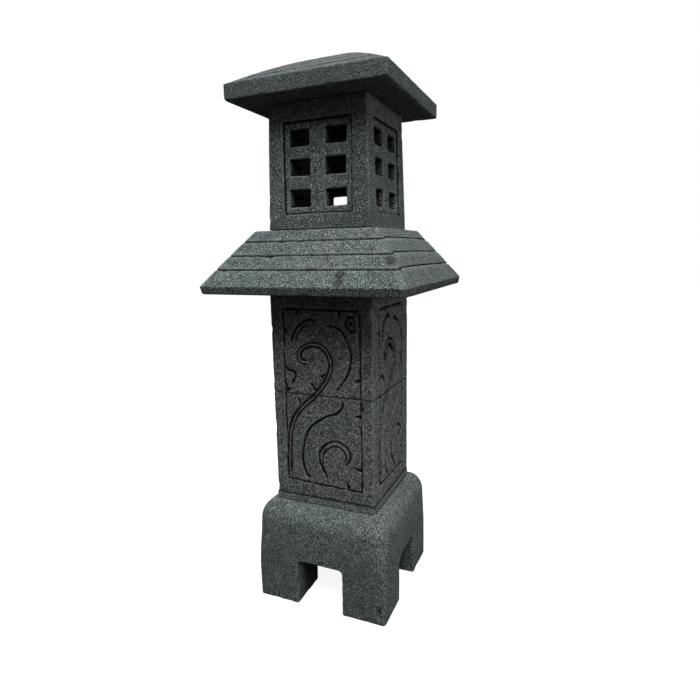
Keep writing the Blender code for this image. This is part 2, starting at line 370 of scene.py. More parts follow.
@dataclass(frozen=True)
class LavaStone:
    """Dark andesite: a grey-green ground, pale feldspar specks, dark pores, pale worn edges, and
    painted shade in its hollows.
    """

    name: str
    shift: tuple[float, float, float]
    ground: float = 0.066
    dark: float = 0.008
    pale: float = 0.300
    speck: float = 0.60
    tint: tuple[float, float, float] = (0.88, 1.04, 1.0)
    rust: tuple[float, float, float] = (1.12, 1.0, 0.90)
    cloud_per_metre: float = 9.0
    mottle_per_metre: float = 75.0
    grain_per_metre: float = 620.0
    ragged_per_metre: float = 900.0
    speck_per_metre: float = 400.0
    pore_per_metre: float = 340.0
    mottle_share: float = 0.12
    ramp_places: tuple[float, float, float] = (0.37, 0.50, 0.64)
    speck_rim: tuple[float, float] = (0.26, 0.44)
    speck_draw: tuple[float, float] = (0.76, 0.90)
    pore_rim: tuple[float, float] = (0.20, 0.38)
    pore_draw: tuple[float, float] = (0.74, 0.84)
    stray: float = 2.4 * MM
    bump: float = 0.9
    wear: float = 0.30

    def build(self) -> NodeSheet:
        """Build the material.

        Returns:
            The node sheet, ready to dress a stone.
        """
        sheet = NodeSheet(self.name)
        spot = sheet.placed_coordinates(self.shift)
        cloud = sheet.noise(spot, self.cloud_per_metre, 3.0, 0.55)
        mottle = sheet.noise(spot, self.mottle_per_metre, 3.0, 0.6)
        grain = sheet.noise(spot, self.grain_per_metre, 2.0, 0.5)

        broad = sheet.math("MULTIPLY", mottle, self.mottle_share)
        tone = sheet.math("MULTIPLY_ADD", grain, 1 - self.mottle_share, broad)
        ramp = sheet.add("ValToRGB", {0: tone})
        elements = ramp.color_ramp.elements
        start, middle, end = self.ramp_places
        elements[0].position, elements[0].color = start, grey(self.dark, self.tint)
        elements[1].position, elements[1].color = end, grey(self.pale, self.tint)
        elements.new(middle).color = grey(self.ground, self.tint)

        noise_inputs = {"Vector": spot, "Scale": self.ragged_per_metre, "Detail": 2.0}
        ragged = sheet.add("TexNoise", noise_inputs)
        stray = {0: ragged.outputs["Color"], 1: (self.stray,) * 3, 2: spot}
        strayed = sheet.add("VectorMath", stray, operation="MULTIPLY_ADD").outputs[0]
        specks = self.spots(
            sheet, strayed, self.speck_per_metre, self.speck_rim, 0, self.speck_draw
        )
        pores = self.spots(sheet, strayed, self.pore_per_metre, self.pore_rim, 1, self.pore_draw)
        colour = ramp.outputs[0]
        for spots, strength, value in ((specks, 0.75, self.speck), (pores, 0.8, self.dark / 2)):
            share = sheet.math("MULTIPLY", spots, strength)
            colour = sheet.mix(share, colour, grey(value, self.tint))

        colour = sheet.mix(
            sheet.span(cloud, 0.45, 0.70, 0.0, 0.5), colour, (*self.rust, 1.0), "MULTIPLY"
        )
        shade = sheet.span(cloud, 0.30, 0.70, 0.92, 1.08)
        shades = sheet.add("CombineColor", {0: shade, 1: shade, 2: shade}).outputs[0]
        colour = sheet.mix(1.0, colour, shades, "MULTIPLY")

        relief, stain_and_shade = sheet.attribute("relief"), sheet.attribute("stain_and_shade")
        patchy = sheet.span(mottle, 0.35, 0.60, 0.25, 1.0)
        worn = sheet.math("MULTIPLY", sheet.span(relief, 0.25, 1.0, 0.0, self.wear), patchy)
        colour = sheet.mix(worn, colour, grey(self.pale * 0.9, self.tint))
        # Painted shade: hollows, where the relief is negative, are darkened to near black.
        hollow_shade = sheet.span(relief, -0.9, -0.25, 0.97, 0.0)
        colour = sheet.mix(hollow_shade, colour, grey(0.006, self.rust))
        # Stains and dark joints, and painted shade, from the stone's own per-vertex numbers.
        colour = sheet.mix(sheet.math("MULTIPLY", stain_and_shade, 0.9), colour, grey(0.010, self.rust))

        darkening = sheet.math("MAXIMUM", hollow_shade, stain_and_shade)
        sheet.coat(
            colour,
            sheet.span(tone, 0.35, 0.65, 0.93, 0.78),
            Specular_IOR_Level=sheet.span(darkening, 0.0, 1.0, 0.35, 0.02),
        )
        height = tone
        for layer, share in ((pores, -0.9), (specks, 0.10), (ragged.outputs["Fac"], 0.45)):
            height = sheet.math("MULTIPLY_ADD", layer, share, height)
        sheet.roughen(height, self.bump, 1.2 * MM)
        return sheet

    def spots(
        self,
        sheet: NodeSheet,
        place: bpy.types.NodeSocket,
        per_metre: float,
        rim: tuple[float, float],
        channel: int,
        draw: tuple[float, float],
    ) -> bpy.types.NodeSocket:
        """Scatter ragged spots: the middles of some cells of a Voronoi texture.

        Args:
            sheet: The node sheet.
            place: The coordinates.
            per_metre: Cells per metre.
            rim: Distances from a cell's middle between which its spot fades out.
            channel: Channel of each cell's random colour that decides on its spot.
            draw: Values of the channel between which the spot gains its strength.

        Returns:
            Strength of the spots, from 0 to 1.
        """
        inputs = {"Vector": place, "Scale": per_metre, "Randomness": 1.0}
        cells = sheet.add("TexVoronoi", inputs)
        chance = sheet.add("SeparateColor", {0: cells.outputs["Color"]}).outputs[channel]
        core = sheet.span(cells.outputs["Distance"], *rim, 1.0, 0.0)
        return sheet.math("MULTIPLY", core, sheet.span(chance, *draw, 0.0, 1.0))


@dataclass(frozen=True)
class DrawnFoil:
    """Bright thin aluminium with faint drawing lines and dull patches."""

    name: str = "drawn_foil"

    def build(self) -> NodeSheet:
        """Build the material.

        Returns:
            The node sheet, ready to dress a piece.
        """
        sheet = NodeSheet(self.name)
        spot = sheet.placed_coordinates((0.0, 0.0, 0.0))
        stretched = sheet.add("Mapping", {"Vector": spot, "Scale": (1.0, 1.0, 14.0)}).outputs[0]
        lines = sheet.noise(stretched, 260.0, 3.0, 0.6)
        patches = sheet.span(sheet.noise(spot, 90.0, 2.0, 0.5), 0.35, 0.65, 0.0, 1.0)
        colour = sheet.mix(patches, grey(0.72), grey(0.86))
        sheet.coat(colour, sheet.span(lines, 0.3, 0.7, 0.22, 0.42), Metallic=1.0)
        sheet.roughen(lines, 0.25, 0.2 * MM)
        return sheet


@dataclass(frozen=True)
class CandleWax:
    """Ivory paraffin wax, slightly mottled and a little translucent."""

    name: str = "candle_wax"
    thin: tuple[float, ...] = (0.80, 0.77, 0.68, 1.0)
    frosted: tuple[float, ...] = (0.90, 0.88, 0.81, 1.0)

    def build(self) -> NodeSheet:
        """Build the material.

        Returns:
            The node sheet, ready to dress a piece.
        """
        sheet = NodeSheet(self.name)
        frost = sheet.noise(sheet.placed_coordinates((0.0, 0.0, 0.0)), 320.0, 4.0, 0.6)
        sheet.coat(
            sheet.mix(sheet.span(frost, 0.35, 0.65, 0.0, 1.0), self.thin, self.frosted),
            sheet.span(frost, 0.3, 0.7, 0.35, 0.55),
            Subsurface_Weight=0.25,
            Subsurface_Radius=(0.004, 0.003, 0.002),
        )
        sheet.roughen(frost, 0.2, 0.3 * MM)
        return sheet


@dataclass(frozen=True)
class BraidedCotton:
    """Waxed cotton braid that turns to char at its tip."""

    char_from: float
    char_to: float
    name: str = "braided_cotton"
    shaded: tuple[float, ...] = (0.55, 0.50, 0.40, 1.0)
    waxed: tuple[float, ...] = (0.84, 0.80, 0.70, 1.0)
    char: tuple[float, ...] = (0.012, 0.010, 0.009, 1.0)

    def build(self) -> NodeSheet:
        """Build the material.

        Returns:
            The node sheet, ready to dress a piece.
        """
        sheet = NodeSheet(self.name)
        spot = sheet.placed_coordinates((0.0, 0.0, 0.0))
        weave = sheet.add(
            "TexWave",
            {"Vector": spot, "Scale": 420.0, "Distortion": 1.5},
            wave_type="BANDS",
            bands_direction="DIAGONAL",
        ).outputs["Fac"]
        height = sheet.add("SeparateXYZ", {0: spot}).outputs["Z"]
        charred = sheet.span(height, self.char_from, self.char_to, 0.0, 0.95)
        colour = sheet.mix(charred, sheet.mix(weave, self.shaded, self.waxed), self.char)
        sheet.coat(colour, sheet.span(weave, 0.0, 1.0, 0.9, 0.75))
        sheet.roughen(weave, 0.5, 0.2 * MM)
        return sheet


@dataclass(frozen=True)
class PressedSteel:
    """Thin pressed steel, dull and slightly spotted."""

    name: str = "pressed_steel"

    def build(self) -> NodeSheet:
        """Build the material.

        Returns:
            The node sheet, ready to dress a piece.
        """
        sheet = NodeSheet(self.name)
        spots = sheet.noise(sheet.placed_coordinates((0.0, 0.0, 0.0)), 700.0, 3.0, 0.6)
        colour = sheet.mix(sheet.span(spots, 0.35, 0.7, 0.0, 1.0), grey(0.50), grey(0.36))
        sheet.coat(colour, sheet.span(spots, 0.3, 0.7, 0.3, 0.5), Metallic=1.0)
        return sheet


# ---------------------------------------------------------------------------------------------
# Surfaces carried round a square
# ---------------------------------------------------------------------------------------------


@dataclass(frozen=True)
class Stop:
    """A corner of a stone's profile.

    half is the half width there and height the level. fillet rounds the corner, step is the row
    spacing on the way to the next stop, and corner is the plan radius of the ring there.
    """

    half: float
    height: float
    fillet: float = 0.0
    step: float = 6 * MM
    corner: float = 3 * MM


def profile_rows(stops: list[Stop]) -> np.ndarray:
    """Turn a profile's stops into rows.

    Each corner with a fillet becomes the curve that a quadratic Bezier draws between its two
    tangent points, and each straight stretch is divided evenly.

    Args:
        stops: The profile, from the top centre, down the outer side, to the bottom centre.

    Returns:
        Rows of half width, height and plan radius, (R, 3).
    """
    corners = np.array([[s.half, s.height, s.corner] for s in stops])
    rows = [corners[:1]]
    share = np.linspace(0, 1, 5)[:, None]
    for i in range(1, len(stops)):
        here, before = corners[i], corners[i - 1]
        entry = exit_ = here
        arc = here[None]
        if stops[i].fillet and i + 1 < len(stops):
            back, ahead = before - here, corners[i + 1] - here
            entry = here + back * min(0.45, stops[i].fillet / np.linalg.norm(back[:2]))
            exit_ = here + ahead * min(0.45, stops[i].fillet / np.linalg.norm(ahead[:2]))
            arc = (1 - share) ** 2 * entry + 2 * share * (1 - share) * here + share**2 * exit_
        start = rows[-1][-1]
        pieces = max(1, round(float(np.linalg.norm(entry[:2] - start[:2])) / stops[i - 1].step))
        stretch = np.linspace(0, 1, pieces + 1)[1:-1, None]
        rows += [start + stretch * (entry - start), arc]
    return np.concatenate(rows)


@dataclass(frozen=True)
class SquareRing:
    """The columns round a square: evenly or unevenly spaced on the flats, even in the corners."""

    stops: np.ndarray
    corner_steps: int = 4

    def columns(self) -> tuple[np.ndarray, np.ndarray, np.ndarray]:
        """Lay out the columns.

        Returns:
            Side number, place on the flat from -1 to 1, and turn round the corner in radians.
        """
        turns = np.linspace(0, np.pi / 2, self.corner_steps + 1)[1:-1]
        along = np.concatenate([self.stops, np.ones(len(turns))])
        turn = np.concatenate([np.zeros(len(self.stops)), turns])
        side = np.repeat(np.arange(4), len(along))
        return side, np.tile(along, 4), np.tile(turn, 4)


@dataclass
class Loft:
    """A closed stone surface: rows run down a profile and columns run round the square."""

    rows: np.ndarray
    ring: SquareRing
    points: np.ndarray = field(init=False)
    normals: np.ndarray = field(init=False)
    across: np.ndarray = field(init=False)
    side: np.ndarray = field(init=False)

    def __post_init__(self) -> None:
        """Work out the grid.

        A column on a flat lies at (place x (half - radius), -half), a column in a corner at the
        radius from (half - radius, -(half - radius)), both turned by the side's quarter turns. The
        normal is the profile's normal, with its outward part along the column's direction.
        """
        side, along, turn = self.ring.columns()
        half, level = self.rows[:, 0:1], self.rows[:, 1:2]
        radius = np.minimum(self.rows[:, 2:3], 0.8 * half)
        across = (half - radius) * along + radius * np.sin(turn)
        outward = (half - radius) + radius * np.cos(turn)
        angle = side * np.pi / 2
        x = across * np.cos(angle) + outward * np.sin(angle)
        y = across * np.sin(angle) - outward * np.cos(angle)
        self.points = np.stack([x, y, np.broadcast_to(level, x.shape)], -1)

        tangent = np.gradient(self.rows[:, :2], axis=0)
        tangent /= np.maximum(np.linalg.norm(tangent, axis=1, keepdims=True), 1e-12)
        out, up = -tangent[:, 1:2], tangent[:, 0:1]
        ahead = turn + angle
        self.normals = np.stack(
            [out * np.sin(ahead), -out * np.cos(ahead), np.broadcast_to(up, x.shape)], -1
        )
        self.across = across
        self.side = np.broadcast_to(side, x.shape)

    def push(self, depth: np.ndarray) -> None:
        """Move every grid point inwards by a depth, (rows, columns)."""
        self.points = self.points - self.normals * depth[..., None]


# ---------------------------------------------------------------------------------------------
# Surfaces from a distance function
# ---------------------------------------------------------------------------------------------


def rounded_rectangle(
    a: np.ndarray, b: np.ndarray, half_a: object, half_b: object, radius: object
) -> np.ndarray:
    """Distance to a rectangle with rounded corners: negative inside, in the rectangle's plane."""
    qa = np.abs(a) - half_a + radius
    qb = np.abs(b) - half_b + radius
    outside = np.hypot(np.maximum(qa, 0), np.maximum(qb, 0))
    return outside + np.minimum(np.maximum(qa, qb), 0) - radius


def soft_max(a: np.ndarray, b: np.ndarray, blend: float) -> np.ndarray:
    """The larger of two distances, rounded off where they are within blend of each other."""
    near = np.maximum(blend - np.abs(a - b), 0) / blend
    return np.maximum(a, b) + near * near * blend / 4


def round_meet(a: np.ndarray, b: np.ndarray, radius: float) -> np.ndarray:
    """Where both distances are negative, with a true fillet of one radius along the edge."""
    corner = np.hypot(np.maximum(a + radius, 0), np.maximum(b + radius, 0))
    return np.minimum(np.maximum(a, b), -radius) + corner


def net_surface(
    distance: Callable[[np.ndarray], np.ndarray], low: np.ndarray, high: np.ndarray, step: float
) -> tuple[np.ndarray, list[np.ndarray]]:
    """Find the zero level of a distance function.

    The space is divided into cubes. Each cube whose corners differ in sign gets one vertex, at the
    mean of the crossings on its edges, and each grid edge that crosses the surface joins the
    vertices of the four cubes round it. The vertices then slide along the gradient to zero. The
    space reaches NET_MARGIN cubes past the stone's box.

    Args:
        distance: Takes points (N, 3) and returns distances (N,), negative inside.
        low: Lowest corner of the stone's box.
        high: Highest corner.
        step: Edge of a cube.

    Returns:
        Vertices, and one array of quads that face outwards.
    """
    low, high = low - NET_MARGIN * step, high + NET_MARGIN * step
    axes = [np.arange(low[i], high[i] + step, step) for i in range(3)]
    shape = tuple(len(a) for a in axes)
    values = np.empty(shape)
    plane = np.stack(np.meshgrid(axes[1], axes[2], indexing="ij"), -1).reshape(-1, 2)
    for i, x in enumerate(axes[0]):
        slab = np.column_stack([np.full(len(plane), x), plane])
        values[i] = distance(slab).reshape(shape[1:])
    inside = values < 0

    offsets = np.array(list(np.ndindex(2, 2, 2)))
    views = [
        inside[o[0] : shape[0] - 1 + o[0], o[1] : shape[1] - 1 + o[1], o[2] : shape[2] - 1 + o[2]]
        for o in offsets
    ]
    count = sum(v.astype(np.int8) for v in views)
    active = (count > 0) & (count < 8)
    cells = np.argwhere(active)
    number = np.full(active.shape, -1)
    number[active] = np.arange(len(cells))

    corner = [values[tuple((cells + o).T)] for o in offsets]
    total, hits = np.zeros((len(cells), 3)), np.zeros(len(cells))
    for i, first in enumerate(offsets):
        for j in range(i + 1, 8):
            second = offsets[j]
            if np.abs(second - first).sum() != 1:
                continue
            crossed = (corner[i] < 0) != (corner[j] < 0)
            share = np.where(crossed, corner[i] / (corner[i] - corner[j] + 1e-15), 0.0)
            total += np.where(crossed[:, None], first + share[:, None] * (second - first), 0.0)
            hits += crossed
    points = np.array([a[0] for a in axes]) + step * (cells + total / hits[:, None])

    quads = []
    for axis in range(3):
        span = [slice(1, -1)] * 3
        before, after = list(span), list(span)
        before[axis], after[axis] = slice(0, -1), slice(1, None)
        lower, upper = inside[tuple(before)], inside[tuple(after)]
        start = np.ones(3, int)
        start[axis] = 0
        edge = np.argwhere(lower != upper)
        outwards = lower[tuple(edge.T)]
        edge = edge + start
        u, v = np.eye(3, dtype=int)[(axis + 1) % 3], np.eye(3, dtype=int)[(axis + 2) % 3]
        around = [number[tuple((edge - d).T)] for d in (0 * u, u, u + v, v)]
        quad = np.stack(around, -1)
        quads.append(np.where(outwards[:, None], quad, quad[:, ::-1]))
    faces = [np.concatenate(quads)]

    reach = 0.5 * step
    for _ in range(3):
        level = distance(points)
        slope = np.stack(
            [(distance(points + d) - distance(points - d)) / (2 * reach)
             for d in np.eye(3) * reach], -1
        )
        steep = np.maximum((slope**2).sum(-1), 0.25)
        move = np.clip(level / steep, -reach, reach)
        points = points - slope * move[:, None]
    return points, faces


# ---------------------------------------------------------------------------------------------
# Stones
# ---------------------------------------------------------------------------------------------


class Stone(Enum):
    """The six stones, by the node that each one stands for."""

    FOOT = "foot_stone"
    LOWER_SHAFT = "lower_shaft"
    UPPER_SHAFT = "upper_shaft"
    EAVES = "eaves_stone"
    CHAMBER = "light_chamber"
    CAP = "cap_stone"


@dataclass(frozen=True)
class Weather:
    """How far a stone's surface strays from its true shape: always inwards."""

    seed: int
    swell: float = 0.7 * MM
    tooth: float = 0.35 * MM
    chip: float = 3.0 * MM
    edge_width: float = 0.5 * MM
    passes: int = 6
    bed_care: float = 0.8

    def apply(self, points: np.ndarray, faces: list[np.ndarray]) -> np.ndarray:
        """Wear a surface.

        Slow noise makes the flats uneven, fast noise gives tooth marks, and where the surface is
        convex, noise above a threshold breaks the edge away. Level faces, which the stones bear on,
        were dressed with more care and stray less, so that the joints stay tight.

        Args:
            points: Vertices, (N, 3).
            faces: Arrays of triangles and quads.

        Returns:
            Moved vertices, (N, 3).
        """
        normals = vertex_normals(points, faces)
        edge = convexity(points, faces, normals, self.passes) / self.edge_width
        slow = 0.5 + 0.5 * fractal(points, 45 * MM, 3, self.seed)
        fast = 0.5 + 0.5 * fractal(points, 6 * MM, 2, self.seed + 101)
        broken = smooth_step(fractal(points, 16 * MM, 3, self.seed + 202), 0.12, 0.75)
        level = smooth_step(np.abs(normals[:, 2]), 0.98, 1.0)
        depth = (self.swell * slow + self.tooth * fast) * (1 - self.bed_care * level)
        depth += self.chip * broken * np.clip(edge, 0.0, 1.0)
        return points - normals * depth[:, None]


def body_of_node(node: str) -> str:
    """Name of the body that a node belongs to, from the record."""
    bodies = frame["record"]["behaviour"]["bodies"]
    return next(body for body, nodes in bodies.items() if node in nodes)


def settle_piece(obj: bpy.types.Object, node: str) -> None:
    """Let a piece stand for a node: it rides on the node's body, and the node's own part is hidden.
    """
    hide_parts(node)
    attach(obj, body_of_node(node))
    log.info("%s: %d faces, rides on %s", obj.name, len(obj.data.polygons), body_of_node(node))


def set_stone(
    stone: Stone,
    points: np.ndarray,
    faces: list[np.ndarray],
    weather: Weather,
    finish: LavaStone,
    stain_and_shade: np.ndarray,
) -> bpy.types.Object:
    """Wear a stone's surface, store its relief and its stains and painted shade, dress it and set
    it in the frame.

    Args:
        stone: Which stone it is.
        points: Vertices, (N, 3).
        faces: Arrays of triangles and quads.
        weather: How it is worn.
        finish: Its material.
        stain_and_shade: How dark each vertex is painted, from 0 to 1: stains, dark joints and
            painted shade.

    Returns:
        The finished object.
    """
    worn = weather.apply(points, faces)
    normals = vertex_normals(worn, faces)
    relief = convexity(worn, faces, normals, weather.passes) / weather.edge_width
    obj = make_mesh(f"{stone.value}_dressed", worn, faces)
    add_attribute(obj, "relief", np.clip(relief, -1.0, 1.0))
    add_attribute(obj, "stain_and_shade", stain_and_shade)
    finish.build().dress(obj)
    settle_piece(obj, stone.value)
    return obj


def blots(points: np.ndarray, spots: list[tuple[float, ...]], seed: int) -> np.ndarray:
    """Darkness of a few ragged stains.

    Each spot fades out over its radius, and noise breaks its rim.

    Args:
        points: Vertices, (N, 3).
        spots: Centre and radius of each stain, in metres.
        seed: Picks the rim's pattern.

    Returns:
        Numbers from 0 to 1, (N,).
    """
    ragged = fractal(points, 9 * MM, 3, seed)
    dark = np.zeros(len(points))
    for *centre, radius in spots:
        away = np.linalg.norm(points - np.array(centre), axis=1) / radius + 0.35 * ragged
        dark = np.maximum(dark, 1 - smooth_step(away, 0.55, 1.0))
    return dark


# ---------------------------------------------------------------------------------------------
# The carved vine
# ---------------------------------------------------------------------------------------------


def spline(knots: list[tuple[float, float]], per_span: int = 7) -> np.ndarray:
    """Draw a Catmull-Rom curve through knots.

    Between two knots the curve is the cubic whose end slopes are half the step between each
    knot's neighbours.

    Args:
        knots: Points of the curve in millimetres on the face: across, and up from the seat.
        per_span: Points between two knots.

    Returns:
        Points in metres, (M, 2).
    """
    k = np.array(knots, float) * MM
    k = np.concatenate([2 * k[:1] - k[1:2], k, 2 * k[-1:] - k[-2:-1]])
    before, start, end, after = k[:-3, None], k[1:-2, None], k[2:-1, None], k[3:, None]
    t = np.linspace(0, 1, per_span, endpoint=False)[None, :, None]
    curve = 0.5 * (
        2 * start
        + (end - before) * t
        + (2 * before - 5 * start + 4 * end - after) * t**2
        + (3 * start - before - 3 * end + after) * t**3
    )
    return np.concatenate([curve.reshape(-1, 2), k[-2:-1]])


@dataclass(frozen=True)
class Groove:
    """A chiselled line: its path, half its width, its depth, its tapered ends and its long side.

    On the left of the path the ground slopes down to the groove over the bank's width.
    """

    path: np.ndarray
    half_width: float = 2.2 * MM
    depth: float = 4.8 * MM
    taper: float = 8 * MM
    bank: float = 8 * MM
    bank_depth: float = 1.8 * MM
    unevenness: float = 0.3

    def depth_at(self, spot: np.ndarray) -> np.ndarray:
        """Depth of the groove at points of the face.

        The nearest point of the path is found on each of its straight pieces. The section is the
        deeper of a parabola and the bank's straight slope, and it runs out towards both ends. The
        parabola's width follows the chisel's strokes, as slow noise of the way along the path.

        Args:
            spot: Points on the face, (N, 2).

        Returns:
            Depths in metres, (N,).
        """
        depth = np.zeros(len(spot))
        near = (spot > self.path.min(0) - self.bank).all(1)
        near &= (spot < self.path.max(0) + self.bank).all(1)
        start, step = self.path[:-1], np.diff(self.path, axis=0)
        length = np.linalg.norm(step, axis=1)
        travelled = np.concatenate([[0], np.cumsum(length)])
        away = spot[near][:, None] - start
        share = np.clip((away * step).sum(-1) / np.maximum(length**2, 1e-12), 0, 1)
        gap = np.linalg.norm(away - share[..., None] * step, axis=-1)
        piece = gap.argmin(1)
        row = np.arange(len(piece))
        place = travelled[piece] + share[row, piece] * length[piece]
        room = np.minimum(place, travelled[-1] - place) + 0.25 * self.taper
        closest = gap[row, piece]
        strokes = np.column_stack([place, travelled[-1] + 0 * place, 0 * place])
        width = self.half_width * (1 + self.unevenness * value_noise(strokes, 13 * MM, 3))
        chosen, offset = step[piece], away[row, piece]
        left = chosen[:, 0] * offset[:, 1] - chosen[:, 1] * offset[:, 0] > 0
        cut = self.depth * np.clip(1 - (closest / width) ** 2, 0, 1)
        slope = self.bank_depth * left * np.clip(1 - closest / self.bank, 0, 1)
        depth[near] = np.maximum(cut, slope) * smooth_step(room, 0.0, self.taper)
        return depth


@dataclass(frozen=True)
class Nick:
    """A leaf tip cut with two chisel strokes: a small pit shaped like a drop."""

    across: float
    up: float
    angle: float
    length: float = 13.0
    width: float = 9.0
    depth: float = 4.5

    def depth_at(self, spot: np.ndarray) -> np.ndarray:
        """Depth of the pit, which falls off evenly from its middle to its long tip."""
        turn = math.radians(self.angle)
        rel = spot / MM - np.array([self.across, self.up])
        along = rel[:, 0] * math.cos(turn) + rel[:, 1] * math.sin(turn)
        sideways = -rel[:, 0] * math.sin(turn) + rel[:, 1] * math.cos(turn)
        reach = np.where(along > 0, self.length, 0.35 * self.length)
        fall = 1 - np.abs(along) / reach - np.abs(sideways) / (0.5 * self.width)
        return np.clip(fall, 0, 1) ** 0.7 * self.depth * MM


@dataclass(frozen=True)
class Line:
    """A single carved line: how boldly it is cut, and its knots in millimetres on the face."""

    weight: float
    knots: tuple[tuple[float, float], ...]


@dataclass
class Vine:
    """The scroll carved over both shaft blocks: a frame, two spirals on one stem, and leaf tips.

    Places are millimetres on the face: across from its middle, and up from the seat.
    """

    stem: tuple[tuple[float, float], ...] = (
        (-27, 257), (-38, 258), (-44, 267), (-41, 278), (-32, 285), (-18, 289), (-4, 288),
        (9, 280), (17, 265), (18, 248), (8, 224), (-6, 204), (-20, 189), (-41, 171),
        (-56, 151), (-66, 126), (-70, 92), (-71, 60), (-71, 31),
    )
    lines: tuple[Line, ...] = (
        Line(1.05, (
            (43, 70), (52, 81), (52, 96), (43, 108), (27, 113.5), (11, 110), (-2, 100), (-9, 87),
            (-8, 72), (-2, 57), (6, 41),
        )),
        Line(0.8, (
            (-3, 64), (-1, 85), (7, 97), (20, 103.5), (33, 102), (42, 94), (45, 83), (41, 75),
        )),
        Line(1.25, ((-59, 293), (-56, 305), (-48, 318), (-34, 330), (-20, 334), (-9, 332))),
        Line(0.7, ((-50, 296), (-46, 308), (-36, 319), (-24, 324))),
        Line(0.85, (
            (13, 325), (29, 323), (41, 315), (50, 301), (57, 284), (58, 266), (54, 247),
            (47, 233), (33, 215),
        )),
        Line(1.15, (
            (41, 190), (39, 178), (28, 166), (9, 160), (-10, 148), (-26, 134), (-36, 116),
            (-41, 95), (-43, 73), (-39, 51), (-29, 35),
        )),
        Line(1.0, ((67, 341), (54, 340), (49, 329), (56, 318), (68, 318))),
        Line(0.8, ((62, 335), (58, 331), (59, 327))),
        Line(1.0, ((-73, 250), (-68, 241), (-58, 240), (-52, 232), (-57, 222))),
        Line(0.9, ((-73, 218), (-71, 208), (-66, 200))),
        Line(0.9, ((-4, 235), (2, 232), (7, 226))),
        Line(0.9, ((-22, 220), (-16, 213), (-12, 206))),
        Line(0.9, ((-49, 190), (-46, 182), (-43, 175))),
    )
    nicks: tuple[Nick, ...] = (
        Nick(74, 231, 190), Nick(74, 165, 180), Nick(74, 65, 170), Nick(50, 30, 110),
        Nick(-45, 349, 250), Nick(38, 350, 270), Nick(-73, 318, 300, 18), Nick(6, 236, 200),
        Nick(-12, 207, 130), Nick(-56, 222, 240), Nick(33, 214, 220, 9, 7),
        Nick(-71, 202, 20, 14, 10), Nick(59, 329, 200, 8, 7),
    )
    frame_box: tuple[float, float, float, float] = (-74.0, 28.0, 76.0, 352.0)
    band_half: float = 3.4
    stroke: float = 1.0

    def cut(self, path: np.ndarray, half_width: float, depth: float) -> Groove:
        """A groove of a half width and depth in millimetres, as bold as this face's strokes."""
        return Groove(path, half_width * self.stroke * MM, depth * self.stroke**0.5 * MM)

    def band(self) -> list[Groove]:
        """Cut the stem as a raised band: one groove on each side of its middle line.

        Returns:
            The two grooves, which are the middle line moved sideways along its normal.
        """
        middle = spline(list(self.stem))
        ahead = np.gradient(middle, axis=0)
        ahead /= np.linalg.norm(ahead, axis=1, keepdims=True)
        offset = self.band_half * MM * np.stack([-ahead[:, 1], ahead[:, 0]], -1)
        return [
            self.cut(middle + offset, 1.7, 4.0),
            self.cut((middle - offset)[::-1], 2.3, 5.2),
        ]

    def frame_lines(self) -> list[Groove]:
        """Cut the thin frame: four straight lines that miss the corners by a little.

        Returns:
            The four grooves.
        """
        left, low, right, high = self.frame_box
        sides = (
            (1.5, ((left, low), (left, high))),
            (2.1, ((left, high), (right, high))),
            (1.3, ((right, high - 4), (right, low - 6))),
            (1.4, ((left, low), (right, low - 3))),
        )
        return [
            Groove(
                spline(list(ends), 12), half_width * self.stroke * MM, 3.2 * MM, 3 * MM,
                3 * self.stroke * MM, 0.0, 0.4,
            )
            for half_width, ends in sides
        ]

    def depth_at(self, across: np.ndarray, up: np.ndarray, side: int) -> np.ndarray:
        """Depth of all the carving on one side of the shaft.

        The hand's wander is a slow shift of the face's coordinates, another one on each side.

        Args:
            across: Distance from the face's middle, any shape.
            up: Height above the seat, the same shape.
            side: Number of the side.

        Returns:
            Depths in metres, the same shape.
        """
        spot = np.stack([across.ravel(), up.ravel()], -1)
        wander = np.column_stack([spot, np.full(len(spot), 0.37 * side)])
        spot = spot + 1.3 * MM * np.stack(
            [fractal(wander, 60 * MM, 2, 31 + side), fractal(wander, 60 * MM, 2, 47 + side)], -1
        )
        cuts = self.band()
        cuts += [self.cut(spline(list(n.knots)), 2.0 * n.weight, 4.6) for n in self.lines]
        cuts += [*self.frame_lines(), *self.nicks]
        depth = np.zeros(len(spot))
        for cut in cuts:
            depth = np.maximum(depth, cut.depth_at(spot))
        return depth.reshape(across.shape)


def side_vine() -> Vine:
    """Draw the version on the right and left faces: a narrower frame and plainer scrolls.

    Returns:
        The vine.
    """
    return Vine(
        stem=(
            (-22, 257), (-29, 266), (-24, 281), (-10, 288), (3, 284), (19, 269), (24, 247),
            (12, 226), (-6, 205), (-22, 188), (-44, 164), (-56, 134), (-60, 95), (-60, 31),
        ),
        lines=(
            Line(1.0, ((-47, 290), (-43, 318), (-32, 331), (-16, 337), (-3, 334))),
            Line(1.0, ((15, 331), (38, 322), (54, 304), (62, 271), (58, 245))),
            Line(1.0, ((-55, 232), (-46, 229), (-36, 217), (-40, 208))),
            Line(1.0, ((44, 88), (53, 92), (55, 101), (46, 111), (36, 113), (28, 107))),
            Line(1.0, ((12, 100), (2, 88), (-2, 74), (3, 60), (13, 47), (23, 31))),
            Line(1.0, ((-24, 92), (-31, 78), (-34, 60), (-29, 42), (-20, 32))),
            Line(0.8, ((42, 190), (38, 176), (26, 164), (8, 154), (-10, 138))),
        ),
        nicks=(
            Nick(-60, 48, 70), Nick(62, 150, 180), Nick(62, 60, 170), Nick(-30, 349, 260),
            Nick(30, 349, 280), Nick(-61, 310, 300), Nick(44, 100, 200, 10, 8),
        ),
        frame_box=(-63.0, 28.0, 64.0, 352.0),
        band_half=5.5,
        stroke=2.0,
    )


# ---------------------------------------------------------------------------------------------
# Sub-assemblies
# ---------------------------------------------------------------------------------------------


